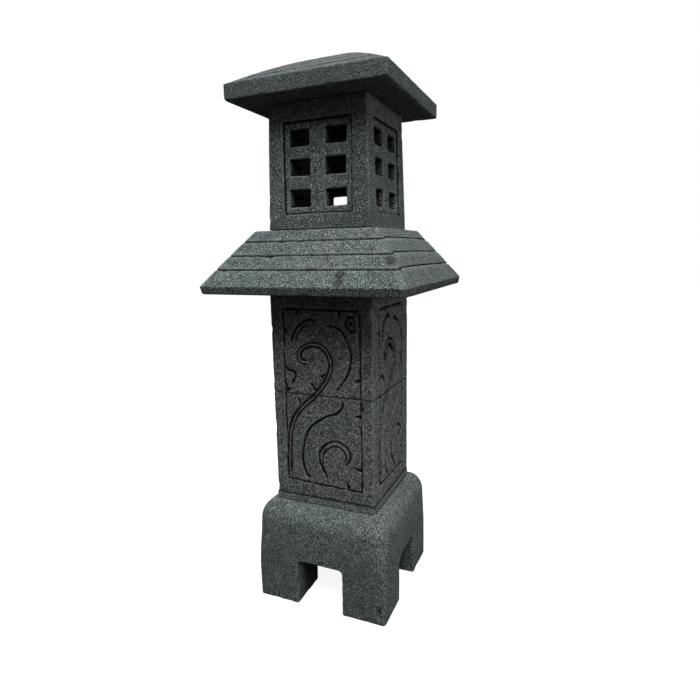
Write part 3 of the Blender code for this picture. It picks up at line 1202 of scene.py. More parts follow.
@dataclass
class Shaft:
    """The two square blocks of the shaft, carved together."""

    tenon_half: float = 30 * MM
    tenon_height: float = 15 * MM
    socket_half: float = 31 * MM
    socket_depth: float = 16 * MM
    arris: float = 1.5 * MM
    corner: float = 2.4 * MM
    carved_share: float = 0.80
    carved_columns: int = 114
    margin_columns: int = 5
    carved_step: float = 1.4 * MM
    plain_step: float = 8 * MM
    joint_wave: float = 1.6 * MM
    # Painted shadow of the eaves: the shaft darkens towards its top between these heights above the
    # seat.
    eaves_shadow_low: float = 215 * MM
    eaves_shadow_high: float = 375 * MM
    eaves_shadow_strength: float = 0.30
    groove_shade: float = 0.85
    vines: tuple[Vine, Vine] = field(default_factory=lambda: (Vine(), side_vine()))

    def ring(self) -> SquareRing:
        """Columns that are close on the carved part of a flat and wide at its margins."""
        edge = self.carved_share
        left = np.linspace(-1, -edge, self.margin_columns, endpoint=False)
        middle = np.linspace(-edge, edge, self.carved_columns)
        right = np.linspace(edge, 1, self.margin_columns + 1)[1:]
        return SquareRing(np.concatenate([left, middle, right]))

    def block(self, stone: Stone, seat: float, finish: LavaStone) -> bpy.types.Object:
        """Build one block with its tenon, socket and share of the carving.

        Args:
            stone: Which block.
            seat: Height from which the vine is measured.
            finish: Its material.

        Returns:
            The finished block.
        """
        low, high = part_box(stone.value)
        half, base, top = high.x, low.z, high.z - self.tenon_height
        stops = [
            Stop(0, top + self.tenon_height, step=self.plain_step, corner=self.arris),
            Stop(self.tenon_half, top + self.tenon_height, self.arris, 5 * MM, self.arris),
            Stop(self.tenon_half, top, self.arris, self.plain_step, self.arris),
            Stop(half, top, self.arris, self.carved_step, self.corner),
            Stop(half, base, self.arris, self.plain_step, self.corner),
            Stop(self.socket_half, base, self.arris, 5 * MM, self.arris),
            Stop(self.socket_half, base + self.socket_depth, self.arris, corner=self.arris),
            Stop(0, base + self.socket_depth, corner=self.arris),
        ]
        loft = Loft(profile_rows(stops), self.ring())
        side_rows = loft.rows[:, 0] > half - 0.1 * MM
        depth = np.zeros(loft.across.shape)
        for side in range(4):
            here = side_rows[:, None] & (loft.side == side)
            up = loft.points[..., 2][here] - seat
            depth[here] = self.vines[side % 2].depth_at(loft.across[here], up, side)
        loft.push(depth)
        self.wave_joint(loft, stone, base, top, half)
        points, faces = close_ends(loft.points)
        weather = Weather(seed=60 if stone is Stone.LOWER_SHAFT else 90, chip=2.0 * MM)
        rims = np.minimum(loft.rows[:, 1] - base, top - loft.rows[:, 1])
        darkening = 1 - smooth_step(rims[:, None], 0.3 * MM, self.arris)
        # Painted shade in the carved grooves: the deeper the cut, the darker.
        darkening = np.maximum(darkening, self.groove_shade * smooth_step(depth, 1.0 * MM, 3.0 * MM))
        # Painted shadow of the eaves on the upper shaft; the rims above are dark joints.
        eaves_shadow = smooth_step(loft.points[..., 2] - seat, self.eaves_shadow_low, self.eaves_shadow_high)
        darkening = np.maximum(darkening, self.eaves_shadow_strength * eaves_shadow)[1:-1]
        return set_stone(stone, points, faces, weather, finish, np.append(darkening, [1.0, 1.0]))

    def wave_joint(
        self, loft: Loft, stone: Stone, base: float, top: float, half: float
    ) -> None:
        """Bend the joint between the blocks, both sides of it alike.

        The level of each outer point moves by slow noise of its place round the shaft, fully at
        the joint and not at all 30 mm away or under the bearing face.

        Args:
            loft: The block's grid.
            stone: Which block.
            base: Level of the underside.
            top: Level of the bearing face.
            half: Half width.
        """
        joint = top if stone is Stone.LOWER_SHAFT else base
        flat = loft.points.reshape(-1, 3)
        place = flat * np.array([1.0, 1.0, 0.0])
        wave = value_noise(place, 70 * MM, 5) + 0.4 * value_noise(place, 25 * MM, 6)
        near = 1 - smooth_step(np.abs(flat[:, 2] - joint), 0.0, 30 * MM)
        outer = smooth_step(np.abs(flat[:, :2]).max(1), 0.7 * half, 0.98 * half)
        flat[:, 2] += self.joint_wave * wave * near * outer
        loft.points = flat.reshape(loft.points.shape)

    def build(self) -> None:
        """Build both blocks, a little warmer than the other stones."""
        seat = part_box(Stone.LOWER_SHAFT.value)[0].z
        for stone, shift in (
            (Stone.LOWER_SHAFT, (3.1, 0.7, 1.9)),
            (Stone.UPPER_SHAFT, (5.3, 2.2, 0.4)),
        ):
            finish = LavaStone(f"lava_{stone.value}", shift, tint=(0.91, 1.03, 0.955))
            self.block(stone, seat, finish)


@dataclass(frozen=True)
class Kerf:
    """A saw cut round a roof.

    place is its share of the way down the slope, shift its stray down the slope on each side in
    millimetres, and side_share its size on the right and left as a share of the front's.
    """

    place: float
    width: float
    depth: float
    shift: tuple[float, float, float, float] = (0.0, 0.0, 0.0, 0.0)
    side_share: float = 1.0


@dataclass
class SawnRoof:
    """What the eaves stone and the cap share: slopes with saw cuts parallel to their edges."""

    kerfs: tuple[Kerf, ...]
    columns: int
    slope_step: float
    # Painted shade on the rows beside each saw cut.
    lip_shade: float = 0.0
    wall_share: float = 0.14
    hip_scratch: float = 0.22
    hip_run_out: float = 6 * MM
    hip_settle: float = 0.12
    wander: float = 0.4 * MM

    def ring(self) -> SquareRing:
        """Evenly spaced columns on each side, and six steps round each hip."""
        return SquareRing(np.linspace(-1, 1, self.columns), 6)

    def slope_rows(self, curve: np.ndarray) -> tuple[np.ndarray, dict[int, Kerf]]:
        """Divide a slope into rows, with four more at each saw cut.

        Args:
            curve: The slope's profile from its top to its foot, (M, 3), evenly spaced.

        Returns:
            The rows, and the cut that each floor row belongs to, by row number.
        """
        length = np.concatenate(
            [[0], np.cumsum(np.linalg.norm(np.diff(curve[:, :2], axis=0), axis=1))]
        )
        rims = [k.place * length[-1] + out * k.width for k in self.kerfs for out in (-1, 1)]
        ends = [0.0, *rims, length[-1]]
        places, owner = [], []
        for start, end in zip(ends[::2], ends[1::2]):
            count = max(2, round((end - start) / self.slope_step))
            places += list(np.linspace(start, end, count))
            owner += [None] * count
        for kerf in self.kerfs:
            floor = 0.5 - self.wall_share
            places += [kerf.place * length[-1] + k * kerf.width for k in (-0.5, -floor, floor, 0.5)]
            owner += [None, kerf, kerf, None]
        order = np.argsort(places, kind="stable")
        at = np.array(places)[order]
        rows = np.stack([np.interp(at, length, curve[:, i]) for i in range(3)], -1)
        return rows, {n: owner[i] for n, i in enumerate(order) if owner[i] is not None}

    def saw(self, loft: Loft, first_row: int, floors: dict[int, Kerf], seed: int) -> np.ndarray:
        """Cut the kerfs into a roof's grid.

        The rows of a cut's floor go in by its depth, which runs out to a scratch at the hips. Its
        four rows draw together on the right and left, and they wander down the slope by slow noise
        and by the side's own shift.

        Args:
            loft: The roof's grid.
            first_row: Number of the slope's first row in the grid.
            floors: The cut that each floor row belongs to.
            seed: Picks the wander.

        Returns:
            How dark each vertex of the closed surface is painted, from 0 to 1: painted shade in the
            saw cuts and on their lips.
        """
        side, along, turn = loft.ring.columns()
        depth = np.zeros(loft.across.shape)
        for row, kerf in floors.items():
            number = first_row + row
            reach = np.abs(loft.across[number])
            inside = smooth_step(reach.max() - reach, 0.0, self.hip_run_out)
            run_out = self.hip_scratch + (1 - self.hip_scratch) * inside
            run_out = run_out * np.where(side % 2, kerf.side_share, 1.0)
            place = loft.points[number] * np.array([1.0, 1.0, 0.0])
            rough = 1 + 0.25 * fractal(place, 30 * MM, 2, seed + row)
            depth[number] = kerf.depth * run_out * rough
        for kerf in self.kerfs:
            own = sorted(first_row + row for row, k in floors.items() if k is kerf)
            band = [own[0] - 1, *own, own[-1] + 1]
            place = loft.points[own[0]] * np.array([1.0, 1.0, 0.0])
            near_hip = 1 - np.abs(along) * (turn == 0) - (turn > 0)
            settle = smooth_step(near_hip, 0.0, self.hip_settle)
            narrow = 1 - settle * np.where(side % 2, 1 - kerf.side_share, 0.0)
            middle = loft.points[band].mean(0)
            stray = self.wander * fractal(place, 80 * MM, 2, seed + 7)
            stray = stray + np.array(kerf.shift)[side] * MM
            down = loft.points[band[-1]] - loft.points[band[0]]
            down /= np.linalg.norm(down, axis=1, keepdims=True)
            for number in band:
                away = (loft.points[number] - middle) * narrow[:, None]
                loft.points[number] = middle + away + down * (stray * settle)[:, None]
        loft.push(depth)
        # Painted shade in the saw cuts, by their depth, and on the rows beside them.
        darkening = smooth_step(depth, 0.2 * MM, 3.6 * MM)
        lips = np.maximum(np.roll(darkening, 1, axis=0), np.roll(darkening, -1, axis=0))
        darkening = np.maximum(darkening, self.lip_shade * lips)
        return np.append(darkening[1:-1], [0.0, 0.0])


@dataclass
class Eaves(SawnRoof):
    """The wide lower roof with three saw cuts on each side.

    spots are stains: across, in from the front edge, up from the underside, and radius.
    """

    kerfs: tuple[Kerf, ...] = (
        Kerf(0.182, 3.4 * MM, 5.2 * MM, (0, -3.6, 0.5, 1.0), 0.5),
        Kerf(0.452, 3.4 * MM, 5.4 * MM, (0, -3.8, 0.5, 1.0), 0.5),
        Kerf(0.712, 3.4 * MM, 5.6 * MM, (0, -3.4, -0.5, 1.0), 0.55),
    )
    columns: int = 168
    slope_step: float = 2.0 * MM
    top_half: float = 115 * MM
    fascia: float = 13.5 * MM
    undercut: float = 3.2 * MM
    boss_half: float = 62 * MM
    boss_height: float = 12 * MM
    socket_half: float = 31 * MM
    socket_depth: float = 16 * MM
    hip: float = 9 * MM
    belly: float = 0.6 * MM
    # Painted shade: the fascia and underside are darkened, and the stone darkens towards its right.
    fascia_shade: float = 0.32
    eaves_right_shade: float = 0.17
    spots: tuple[tuple[float, float, float, float], ...] = (
        (74 * MM, 15 * MM, 34 * MM, 11 * MM),
        (76 * MM, 7 * MM, 21 * MM, 12 * MM),
        (151.5 * MM, 31 * MM, 56 * MM, 13 * MM),
    )

    def build(self) -> None:
        """Build the eaves stone."""
        low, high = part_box(Stone.EAVES.value)
        half, base, top = high.x, low.z, high.z - self.boss_height
        lip = 2.0 * MM
        head = profile_rows([
            Stop(0, top + self.boss_height, step=9 * MM, corner=lip),
            Stop(self.boss_half, top + self.boss_height, lip, 5 * MM, lip),
            Stop(self.boss_half, top, lip, 6 * MM, lip),
            Stop(self.top_half, top, 2.5 * MM, 4 * MM, 4 * MM),
            Stop(self.top_half + 4 * MM, top - 5 * MM, corner=6 * MM),
        ])[:-1]
        upper = np.array([self.top_half, top, 5 * MM]) + np.array([2.0, -2.5, 0]) * MM
        lower = np.array([half, base + self.fascia, self.hip]) - np.array([1.6, -2.0, 0]) * MM
        share = np.linspace(0, 1, 60)[:, None]
        curve = upper + share * (lower - upper)
        curve[:, 0] += self.belly * np.sin(np.pi * share[:, 0])
        slope, floors = self.slope_rows(curve)
        foot = profile_rows([
            Stop(half - 0.9 * MM, base + self.fascia + 0.9 * MM, step=1.2 * MM, corner=self.hip),
            Stop(half, base + self.fascia, 1.6 * MM, 1.7 * MM, 8 * MM),
            Stop(half - self.undercut, base, 2.2 * MM, 9 * MM, 7 * MM),
            Stop(self.socket_half, base, lip, 6 * MM, lip),
            Stop(self.socket_half, base + self.socket_depth, lip, 6 * MM, lip),
            Stop(0, base + self.socket_depth, corner=lip),
        ])
        head = head[head[:, 1] > slope[0, 1] + 0.3 * MM]
        loft = Loft(np.concatenate([head, slope, foot]), self.ring())
        darkening = self.saw(loft, len(head), floors, 11)
        points, faces = close_ends(loft.points)
        spots = [(x, y - half, base + up, radius) for x, y, up, radius in self.spots]
        # Painted shade on the fascia and underside and towards the right; the blots are real
        # stains.
        edge = smooth_step(points[:, 2] - base, self.fascia, self.fascia + 1.5 * MM)
        painted_shade = self.eaves_right_shade * smooth_step(points[:, 0], 0.66 * half, 0.95 * half)
        painted_shade = np.minimum(self.fascia_shade * (1 - edge) + painted_shade, 1.0)
        stain_and_shade = np.maximum(0.7 * blots(points, spots, 4), painted_shade)
        stain_and_shade = np.maximum(darkening, stain_and_shade)
        weather = Weather(seed=21, swell=0.45 * MM, chip=1.6 * MM)
        finish = LavaStone(
            "lava_eaves", (0.9, 4.4, 2.7), ground=0.070, pale=0.31, tint=(0.85, 1.04, 1.03)
        )
        set_stone(Stone.EAVES, points, faces, weather, finish, stain_and_shade)


@dataclass
class Cap(SawnRoof):
    """The cap: a slab with a convex hipped crown, faint saw cuts on it, and a boss below."""

    kerfs: tuple[Kerf, ...] = (
        Kerf(0.30, 3.0 * MM, 2.2 * MM, (0, 1.0, -1.0, 0)),
        Kerf(0.50, 3.0 * MM, 2.4 * MM, (0, 0.5, -1.0, 1.0)),
        Kerf(0.68, 3.0 * MM, 2.4 * MM, (0, 0.5, 1.0, -1.0)),
        Kerf(0.86, 3.0 * MM, 2.0 * MM, (0, -0.5, 1.0, 0)),
    )
    columns: int = 132
    slope_step: float = 2.2 * MM
    lip_shade: float = 0.8
    fascia: float = 25.3 * MM
    power: float = 1.4
    boss_half: float = 61 * MM
    boss_height: float = 12 * MM
    corner: float = 3.5 * MM

    def build(self) -> None:
        """Build the cap.

        The crown's level is its height times one minus the power of its share of the half width.
        """
        low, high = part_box(Stone.CAP.value)
        half, base = high.x, low.z + self.boss_height
        crown = high.z - base - self.fascia
        share = np.linspace(0, 0.985, 90)
        level = base + self.fascia + crown * (1 - share**self.power)
        corner = 2 * MM + 22 * MM * share * (1 - 0.75 * share)
        slope, floors = self.slope_rows(np.stack([share * half, level, corner], -1))
        foot = profile_rows([
            Stop(half * 0.99, level[-1] - 0.8 * MM, step=1.4 * MM, corner=self.corner),
            Stop(half, base + self.fascia, 1.2 * MM, 1.9 * MM, self.corner),
            Stop(half, base, 2.4 * MM, 8 * MM, self.corner),
            Stop(self.boss_half, base, 2 * MM, 6 * MM, 2 * MM),
            Stop(self.boss_half, base - self.boss_height, 2 * MM, 9 * MM, 2 * MM),
            Stop(0, base - self.boss_height, corner=2 * MM),
        ])
        loft = Loft(np.concatenate([slope, foot]), self.ring())
        darkening = self.saw(loft, 0, floors, 71)
        points, faces = close_ends(loft.points)
        weather = Weather(seed=43, swell=0.5 * MM, chip=2.4 * MM, edge_width=1.0 * MM)
        finish = LavaStone(
            "lava_cap", (2.4, 1.3, 5.1), ground=0.043, pale=0.20, speck=0.30,
            tint=(0.86, 1.02, 1.06),
        )
        set_stone(Stone.CAP, points, faces, weather, finish, darkening)


@dataclass
class Chamber:
    """The light chamber: four walls with sunk panels and rough-cut windows."""

    cell: float = 2.05 * MM
    top_half: float = 90.5 * MM
    cavity_half: float = 65 * MM
    cavity_corner: float = 6 * MM
    panel_half: float = 63.5 * MM
    panel_low: float = 27 * MM
    panel_high: float = 178 * MM
    panel_depth: float = 3.2 * MM
    outline_inset: float = 1.2 * MM
    outline_half_width: float = 1.3 * MM
    outline_depth: float = 1.1 * MM
    outline_loss: float = 0.6 * MM
    outline_margin: float = 6 * MM
    window_half: tuple[float, float] = (19.3 * MM, 14.0 * MM)
    window_across: float = 33.6 * MM
    window_up: tuple[float, float, float] = (51.9 * MM, 103.8 * MM, 151.9 * MM)
    back_lift: tuple[float, float, float] = (5.5 * MM, -3 * MM, 3.5 * MM)
    back_trim: tuple[float, float, float] = (1.5 * MM, 3 * MM, 3 * MM)
    arris: float = 2.2 * MM
    # Painted shade: deep in the windows and cavity, near the cap, and on the right of the front.
    window_shade: float = 0.85
    cap_shade: float = 0.20
    right_shade: float = 0.16
    low: np.ndarray = field(init=False)
    high: np.ndarray = field(init=False)
    stray: np.ndarray = field(init=False)

    def __post_init__(self) -> None:
        """Read the chamber's box and draw each window's own errors, from -1 to 1."""
        self.low, self.high = (np.array(corner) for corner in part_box(Stone.CHAMBER.value))
        self.stray = np.random.default_rng(8).uniform(-1, 1, (4, 2, 3, 6))

    def distance(self, points: np.ndarray) -> np.ndarray:
        """Distance to the chamber's surface, negative in the stone.

        Each point is turned to the wall it belongs to. The stone is the leaning outer box without
        the cavity, the sunk panel, the cut line round the panel, which is narrower on its right and
        at its foot, and that wall's windows.

        Args:
            points: Points, (N, 3).

        Returns:
            Distances, (N,).
        """
        x, y, up = points[:, 0], points[:, 1], points[:, 2] - self.low[2]
        tall = self.high[2] - self.low[2]
        half = self.high[0] + (self.top_half - self.high[0]) * np.clip(up / tall, 0, 1)
        outer = rounded_rectangle(x, y, half, half, self.arris)
        hollow = rounded_rectangle(x, y, self.cavity_half, self.cavity_half, self.cavity_corner)

        side = np.where(np.abs(x) > np.abs(y), np.where(x > 0, 1, 3), np.where(y < 0, 0, 2))
        turn = side * np.pi / 2
        across = x * np.cos(turn) + y * np.sin(turn)
        outward = x * np.sin(turn) - y * np.cos(turn)

        middle = 0.5 * (self.panel_low + self.panel_high)
        reach = 0.5 * (self.panel_high - self.panel_low)
        panel = rounded_rectangle(across, up - middle, self.panel_half, reach, 1.5 * MM)
        sunk = np.maximum(panel, half - self.panel_depth - outward)
        line = np.abs(panel + self.outline_inset) - self.outline_half_width
        faint = across > self.panel_half - self.outline_margin
        faint |= up < self.panel_low + self.outline_margin
        line = line + self.outline_loss * faint
        sunk_line = np.maximum(line, half - self.panel_depth - self.outline_depth - outward)

        column = (across > 0).astype(int)
        row = np.abs(up[:, None] - np.array(self.window_up)).argmin(1)
        stray = self.stray[side, column, row]
        centre_a = np.where(column == 1, 1, -1) * self.window_across + 1.1 * MM * stray[:, 0]
        centre_u = np.array(self.window_up)[row] + 0.8 * MM * stray[:, 1]
        centre_u += np.where(side == 2, np.array(self.back_lift)[row], 0.0)
        lean = 0.035 * stray[:, 2]
        a, u = across - centre_a, up - centre_u
        a, u = a + lean * u, u - lean * a
        width = self.window_half[0] + 0.8 * MM * stray[:, 3]
        height = self.window_half[1] + 0.7 * MM * stray[:, 4]
        height -= np.where(side == 2, np.array(self.back_trim)[row], 0.0)
        round_off = (2.6 + 1.2 * stray[:, 5] + 2.2 * (side % 2)) * MM
        splay = 0.03 * (half - outward)
        window = rounded_rectangle(a, u, width - splay, height - splay, round_off)
        window = np.maximum(window, self.cavity_half - 4 * MM - outward)

        stone = soft_max(outer, -hollow, self.arris)
        stone = soft_max(stone, -sunk, 1.6 * MM)
        stone = soft_max(stone, -sunk_line, 1.2 * MM)
        stone = soft_max(stone, -window, self.arris)
        ends = np.maximum(-up, up - tall)
        return soft_max(stone, ends, self.arris)

    def build(self) -> None:
        """Build the chamber, with painted shade in its windows and cavity, and painted shade near
        the cap and on the right.
        """
        points, faces = net_surface(self.distance, self.low, self.high, self.cell)
        weather = Weather(seed=33, swell=0.5 * MM, tooth=0.45 * MM, chip=1.6 * MM, passes=4)
        finish = LavaStone(
            "lava_chamber", (1.7, 3.6, 0.2), ground=0.052, pale=0.25, tint=(0.86, 1.04, 1.03)
        )
        bottom, top, half = self.low[2], self.high[2], self.high[0]
        x, y, z = points.T
        # Painted shade deep in the windows and cavity, high under the cap and on the right of the
        # front; the rims are dark joints.
        window_shade = self.window_shade * smooth_step(half - np.maximum(np.abs(x), np.abs(y)), 7 * MM, 20 * MM)
        shade = self.cap_shade * smooth_step(z, bottom + 0.45 * (top - bottom), top)
        front = smooth_step(-y / half, 0.75, 0.95)
        shade += self.right_shade * smooth_step(x / half, 0.1, 0.8) * front
        rim = 1 - smooth_step(np.minimum(z - bottom, top - z), 0.3 * MM, 1.6 * MM)
        stain_and_shade = np.maximum(np.maximum(window_shade, shade), rim)
        set_stone(Stone.CHAMBER, points, faces, weather, finish, stain_and_shade)


@dataclass
class Foot:
    """The foot stone: a worn block on four legs, with the raised seat and tenon on top."""

    cell: float = 2.3 * MM
    top: float = 200 * MM
    top_radius: float = 40 * MM
    corner_low: float = 7 * MM
    corner_high: float = 26 * MM
    channel_half: float = 45 * MM
    channel_height: float = 89 * MM
    channel_corner: float = 7 * MM
    side_corner: float = 21 * MM
    seat_half: float = 101 * MM
    tenon_half: float = 30 * MM
    tenon_height: float = 15 * MM
    # The foot grows darker towards its bottom.
    low_darkening: float = 0.20
    # Painted shade inside the channels and on the inner faces of the legs.
    channel_shade: float = 0.75
    pits: tuple[tuple[float, float, float, float], ...] = (
        (0.1140, -0.131, 0.0350, 2.6 * MM),
        (0.1187, -0.131, 0.0303, 3.2 * MM),
        (0.1222, -0.131, 0.0352, 2.4 * MM),
        (0.1206, -0.131, 0.0268, 2.2 * MM),
    )
    low: np.ndarray = field(init=False)
    high: np.ndarray = field(init=False)

    def __post_init__(self) -> None:
        """Read the foot's box."""
        self.low, self.high = (np.array(corner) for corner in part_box(Stone.FOOT.value))

    def distance(self, points: np.ndarray) -> np.ndarray:
        """Distance to the foot's surface, negative in the stone.

        A block whose plan corners grow rounder with height meets its top in a wide fillet. Two
        channels cross under it, and the seat, the tenon and a few pits finish it.

        Args:
            points: Points, (N, 3).

        Returns:
            Distances, (N,).
        """
        x, y, z = points.T
        half = self.high[0]
        grown = smooth_step(z, 0.3 * self.top, 0.9 * self.top)
        corner = self.corner_low + (self.corner_high - self.corner_low) * grown
        block = rounded_rectangle(x, y, half, half, corner)
        block = round_meet(block, z - self.top, self.top_radius)

        seat_top = self.high[2] - self.tenon_height
        seat = rounded_rectangle(x, y, self.seat_half, self.seat_half, 4 * MM)
        seat = round_meet(seat, z - seat_top, 1.2 * MM)
        seat = np.maximum(seat, 0.6 * self.top - z)
        tenon = rounded_rectangle(x, y, self.tenon_half, self.tenon_half, 3 * MM)
        tenon = round_meet(tenon, z - self.high[2], 2.5 * MM)
        tenon = np.maximum(tenon, 0.6 * self.top - z)
        stone = -soft_max(-block, -seat, 1.5 * MM)
        stone = -soft_max(-stone, -tenon, 3 * MM)

        floor = -2 * self.channel_height
        for across, corner_radius in (
            (x, self.channel_corner),
            (y, np.where((y < 0) & (x > 0), self.side_corner, self.channel_corner)),
        ):
            channel = rounded_rectangle(
                across, z - floor, self.channel_half, self.channel_height - floor, corner_radius
            )
            stone = soft_max(stone, -channel, 5 * MM)
        stone = soft_max(stone, -z, 4 * MM)
        for *centre, radius in self.pits:
            pit = np.linalg.norm(points - np.array(centre), axis=1) - radius
            stone = soft_max(stone, -pit, 1.2 * MM)
        return stone

    def build(self) -> None:
        """Build the foot, with a dark band along the seat's edge, darker towards the bottom, and
        painted shade in the channels.
        """
        points, faces = net_surface(self.distance, self.low, self.high, self.cell)
        weather = Weather(
            seed=77, swell=0.9 * MM, tooth=0.45 * MM, chip=1.2 * MM, edge_width=1.2 * MM, passes=4
        )
        finish = LavaStone(
            "lava_foot", (4.2, 5.8, 3.3), ground=0.079, pale=0.36, wear=0.12,
            tint=(0.86, 1.05, 1.01),
        )
        seat, height = self.high[2] - self.tenon_height, points[:, 2]
        across = np.abs(points[:, :2]).max(1)
        outer = across > self.seat_half - 4 * MM
        darkening = outer * smooth_step(height, seat - 2.4 * MM, seat - 0.9 * MM)
        # Darker towards the bottom of the foot.
        darker_low = self.low_darkening * (1 - smooth_step(height, 0.5 * self.top, 0.8 * self.top))
        # Painted shade deep inside the channels, below their roof.
        under = self.channel_shade * smooth_step(self.high[0] - across, 5 * MM, 45 * MM)
        under *= 1 - smooth_step(height, self.channel_height, self.channel_height + 9 * MM)
        darkening = np.maximum(darkening, np.maximum(darker_low, under))
        set_stone(Stone.FOOT, points, faces, weather, finish, darkening)


@dataclass
class TeaLight:
    """The tea light: a drawn foil cup, its wax and its wick, round the frame's own wick plate."""

    around: int = 128
    flutes: int = 48
    flute_depth: float = 0.12 * MM
    wall: float = 0.4 * MM
    rim: float = 0.45 * MM

    def turned(
        self, name: str, profile: np.ndarray, ripple: np.ndarray, closed: bool
    ) -> bpy.types.Object:
        """Carry a profile round the axis.

        A point lies at its radius, less its ripple times the cosine of the flutes' angle.

        Args:
            name: Name of the piece.
            profile: Radius and height from the top, down the outer side, (R, 2).
            ripple: Depth of the flutes at each profile point, (R,).
            closed: Whether the profile is a ring; if not, both its ends lie on the axis.

        Returns:
            The piece.
        """
        angle = np.linspace(0, 2 * np.pi, self.around, endpoint=False)
        radius = profile[:, :1] - ripple[:, None] * (0.5 + 0.5 * np.cos(self.flutes * angle))
        grid = np.stack(
            [radius * np.cos(angle), radius * np.sin(angle), profile[:, 1:] + 0 * angle], -1
        )
        if not closed:
            return make_mesh(name, *close_ends(grid))
        index = np.arange(grid[..., 0].size).reshape(grid.shape[:2])
        quads = quads_between(index, np.roll(index, -1, axis=0))
        return make_mesh(name, grid.reshape(-1, 3), [quads])

    def cup(self) -> None:
        """The cup: a fluted wall with a rolled rim."""
        low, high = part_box("tealight_cup")
        outer, base, top = high.x, low.z, high.z
        side = outer - self.rim
        roll = np.linspace(np.pi, -np.pi / 2, 9)
        bead = np.column_stack([
            outer - self.rim + self.rim * np.cos(roll), top - self.rim + self.rim * np.sin(roll)
        ])
        drop = np.linspace(top - 1.2 * MM, base + 1.0 * MM, 10)
        profile = np.concatenate([
            [[0, base + self.wall], [side - 2 * self.wall, base + self.wall]],
            [[side - self.wall, base + self.wall + 0.5 * MM]],
            bead,
            np.column_stack([np.full(len(drop), side), drop]),
            [[side - 0.5 * MM, base + 0.2 * MM], [side - 1.2 * MM, base], [0, base]],
        ])
        level = (profile[:, 1] - base) / (top - base)
        outside = np.arange(len(profile)) > 2 + len(bead)
        ripple = self.flute_depth * outside * smooth_step(0.85 - level, 0.0, 0.3)
        piece = self.turned("tealight_cup_foil", profile, ripple, False)
        DrawnFoil().build().dress(piece)
        settle_piece(piece, "tealight_cup")

    def wax(self) -> None:
        """The wax: it climbs the cup and the wick a little, and leaves room for the wick plate."""
        low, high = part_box("tealight_wax")
        plate_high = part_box("wick_sustainer")[1]
        outer, base, top = high.x, low.z, high.z
        bore, gap = 1.15 * MM, 0.3 * MM
        radius = np.linspace(bore, outer, 24)
        climb = np.exp(-(radius - bore) / (1.4 * MM)) + np.exp(-(outer - radius) / (0.9 * MM))
        skin = np.column_stack([radius, top - 0.5 * MM * (1 - 0.8 * climb)])
        plate, collar = plate_high.x + gap, 1.9 * MM
        profile = np.concatenate([
            skin,
            [[outer, base], [plate, base], [plate, base + 0.9 * MM], [collar, base + 0.9 * MM]],
            [[collar, plate_high.z + gap], [bore, plate_high.z + gap]],
        ])
        piece = self.turned("tealight_wax_cake", profile, np.zeros(len(profile)), True)
        CandleWax().build().dress(piece)
        settle_piece(piece, "tealight_wax")

    def wick(self) -> None:
        """The wick: a circle carried up a line that curls over at its charred tip."""
        low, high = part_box("tealight_wick")
        rise = np.linspace(0, 1, 26)
        curl = 1.3 * MM * smooth_step(rise, 0.55, 1.0) ** 2
        level = high.z - (high.z - low.z) * (1 - rise) - 0.3 * MM * smooth_step(rise, 0.7, 1.0)
        thick = high.x * 0.95 * np.sqrt(np.clip(1.02 - smooth_step(rise, 0.9, 1.02), 0.05, 1))
        angle = np.linspace(0, 2 * np.pi, 24, endpoint=False)
        strand = 1 + 0.10 * np.cos(3 * angle + 18 * rise[:, None])
        grid = np.stack(
            [
                curl[:, None] + thick[:, None] * strand * np.cos(angle),
                thick[:, None] * strand * np.sin(angle),
                level[:, None] + 0 * angle,
            ],
            -1,
        )[::-1]
        capped = np.concatenate([grid[:1], grid, grid[-1:]])
        piece = make_mesh("tealight_wick_braid", *close_ends(capped))
        BraidedCotton(high.z - 4 * MM, high.z - 1.5 * MM).build().dress(piece)
        settle_piece(piece, "tealight_wick")

    def build(self) -> None:
        """Build the tea light's pieces and dress the wick plate, which keeps its own shape."""
        self.cup()
        self.wax()
        self.wick()
        plate = frame["nodes"]["wick_sustainer"]
        PressedSteel().build().dress(plate)
        log.info("wick_sustainer: keeps its own shape, dressed in steel")


# ---------------------------------------------------------------------------------------------
# Studio
# ---------------------------------------------------------------------------------------------


@dataclass(frozen=True)
class SoftBox:
    """A square studio light."""

    name: str
    place: tuple[float, float, float]
    aim: tuple[float, float, float]
    size: float
    watts: float
    colour: tuple[float, float, float] = (1.0, 1.0, 1.0)

    def build(self) -> None:
        """Hang the light and turn it to its aim."""
        data = bpy.data.lights.new(self.name, "AREA")
        data.shape = "SQUARE"
        data.size = self.size
        data.energy = self.watts
        data.color = self.colour
        obj = bpy.data.objects.new(self.name, data)
        bpy.context.scene.collection.objects.link(obj)
        sight = Matrix.Translation(self.place)
        direction = sight.inverted() @ Matrix.Translation(self.aim).translation
        obj.matrix_world = sight @ direction.to_track_quat("-Z", "Y").to_matrix().to_4x4()


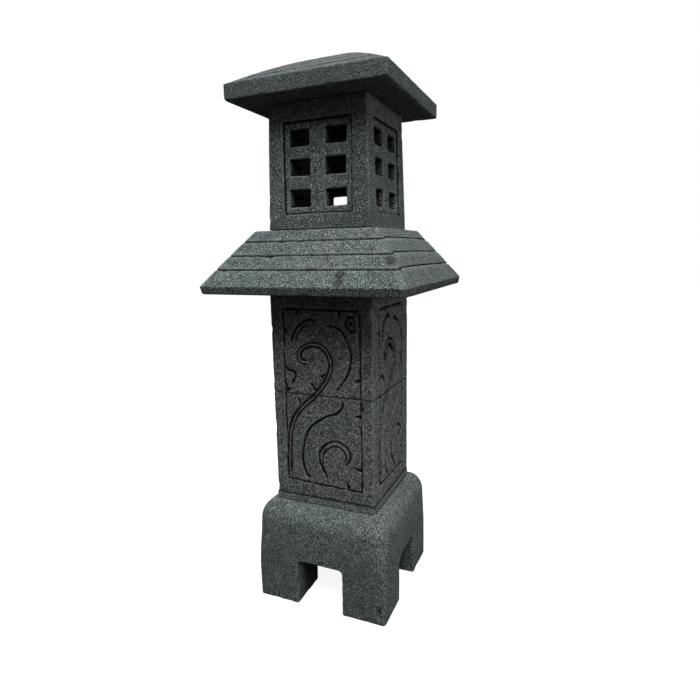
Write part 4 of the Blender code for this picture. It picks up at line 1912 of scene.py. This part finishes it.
@dataclass
class Studio:
    """A pale floor, soft light from above, and a camera a little above the eaves."""

    camera_place: tuple[float, float, float] = (0.4104, -0.9111, 0.6647)
    heading: float = 23.49
    tilt: float = -10.70
    roll: float = -1.03
    lens: float = 26.9
    floor_half: float = 12.0
    floor_glow: float = 0.88
    lights: tuple[SoftBox, ...] = (
        SoftBox("softbox_top", (-0.1, -0.3, 2.8), (0, 0, 0.5), 1.8, 33.0, (0.96, 1.0, 1.0)),
        SoftBox("softbox_front", (0.8, -1.7, 2.8), (0, 0, 0.3), 1.5, 66.0, (0.97, 1.0, 1.0)),
        SoftBox("softbox_right", (2.4, -0.3, 0.8), (0, 0, 0.3), 1.2, 17.0, (1.0, 1.0, 0.98)),
        SoftBox("softbox_back", (-0.9, 2.2, 2.4), (0, 0, 0.5), 1.4, 30.0),
    )

    def camera(self) -> None:
        """Set the camera by its place and three angles.

        It looks along +Y turned left by the heading and up by the tilt. The roll then turns its
        right and up vectors about that line.
        """
        yaw, pitch, roll = (math.radians(a) for a in (self.heading, self.tilt, self.roll))
        ahead = np.array([-math.sin(yaw) * math.cos(pitch), math.cos(yaw) * math.cos(pitch),
                          math.sin(pitch)])
        right = np.array([math.cos(yaw), math.sin(yaw), 0.0])
        up = np.cross(right, ahead)
        turned_right = math.cos(roll) * right + math.sin(roll) * up
        turned_up = math.cos(roll) * up - math.sin(roll) * right
        data = bpy.data.cameras.new("camera")
        data.lens = self.lens
        obj = bpy.data.objects.new("camera", data)
        bpy.context.scene.collection.objects.link(obj)
        matrix = np.eye(4)
        matrix[:3] = np.column_stack([turned_right, turned_up, -ahead, self.camera_place])
        obj.matrix_world = Matrix(matrix.tolist())
        bpy.context.scene.camera = obj

    def floor(self) -> None:
        """Lay the floor, which lights nothing itself, so that the undersides stay dark."""
        s = self.floor_half
        corners = np.array([[-s, -s, 0], [s, -s, 0], [s, s, 0], [-s, s, 0]], float)
        floor = make_mesh("floor", corners, [np.array([[0, 1, 2, 3]])])
        sheet = NodeSheet("pale_floor")
        sheet.coat(
            grey(0.45),
            0.9,
            Emission_Color=grey(1.0),
            Emission_Strength=self.floor_glow,
            Specular_IOR_Level=0.1,
        )
        sheet.dress(floor)
        floor.visible_diffuse = False
        floor.visible_glossy = False

    def backdrop(self) -> None:
        """A white surround for the eye, and a soft one, darker below, for the light."""
        world = bpy.data.worlds.new("surround")
        bpy.context.scene.world = world
        world.use_nodes = True
        tree = world.node_tree
        tree.nodes.clear()

        def node(kind: str) -> bpy.types.Node:
            """Add one node."""
            return tree.nodes.new("ShaderNode" + kind)

        direction, split, ramp = node("TexCoord"), node("SeparateXYZ"), node("ValToRGB")
        tree.links.new(direction.outputs["Generated"], split.inputs[0])
        shift = node("MapRange")
        tree.links.new(split.outputs["Z"], shift.inputs[0])
        shift.inputs[1].default_value = -1.0
        tree.links.new(shift.outputs[0], ramp.inputs[0])
        elements = ramp.color_ramp.elements
        elements[0].position, elements[0].color = 0.35, grey(0.05)
        elements[1].position, elements[1].color = 0.80, grey(0.29)
        soft, seen, blend = node("Background"), node("Background"), node("MixShader")
        tree.links.new(ramp.outputs[0], soft.inputs[0])
        seen.inputs[0].default_value = grey(1.0)
        tree.links.new(node("LightPath").outputs["Is Camera Ray"], blend.inputs[0])
        tree.links.new(soft.outputs[0], blend.inputs[1])
        tree.links.new(seen.outputs[0], blend.inputs[2])
        tree.links.new(blend.outputs[0], node("OutputWorld").inputs[0])

    def build(self) -> None:
        """Set up the studio."""
        self.camera()
        self.floor()
        self.backdrop()
        for light in self.lights:
            light.build()
        bpy.context.scene.view_settings.view_transform = "Standard"


def main() -> None:
    """Build the studio and the lantern, from the ground up."""
    logging.basicConfig(level=logging.INFO, format="%(name)s: %(message)s")
    Studio().build()
    for part in (Foot(), Shaft(), Eaves(), Chamber(), Cap(), TeaLight()):
        part.build()


if __name__ == "__main__":
    main()
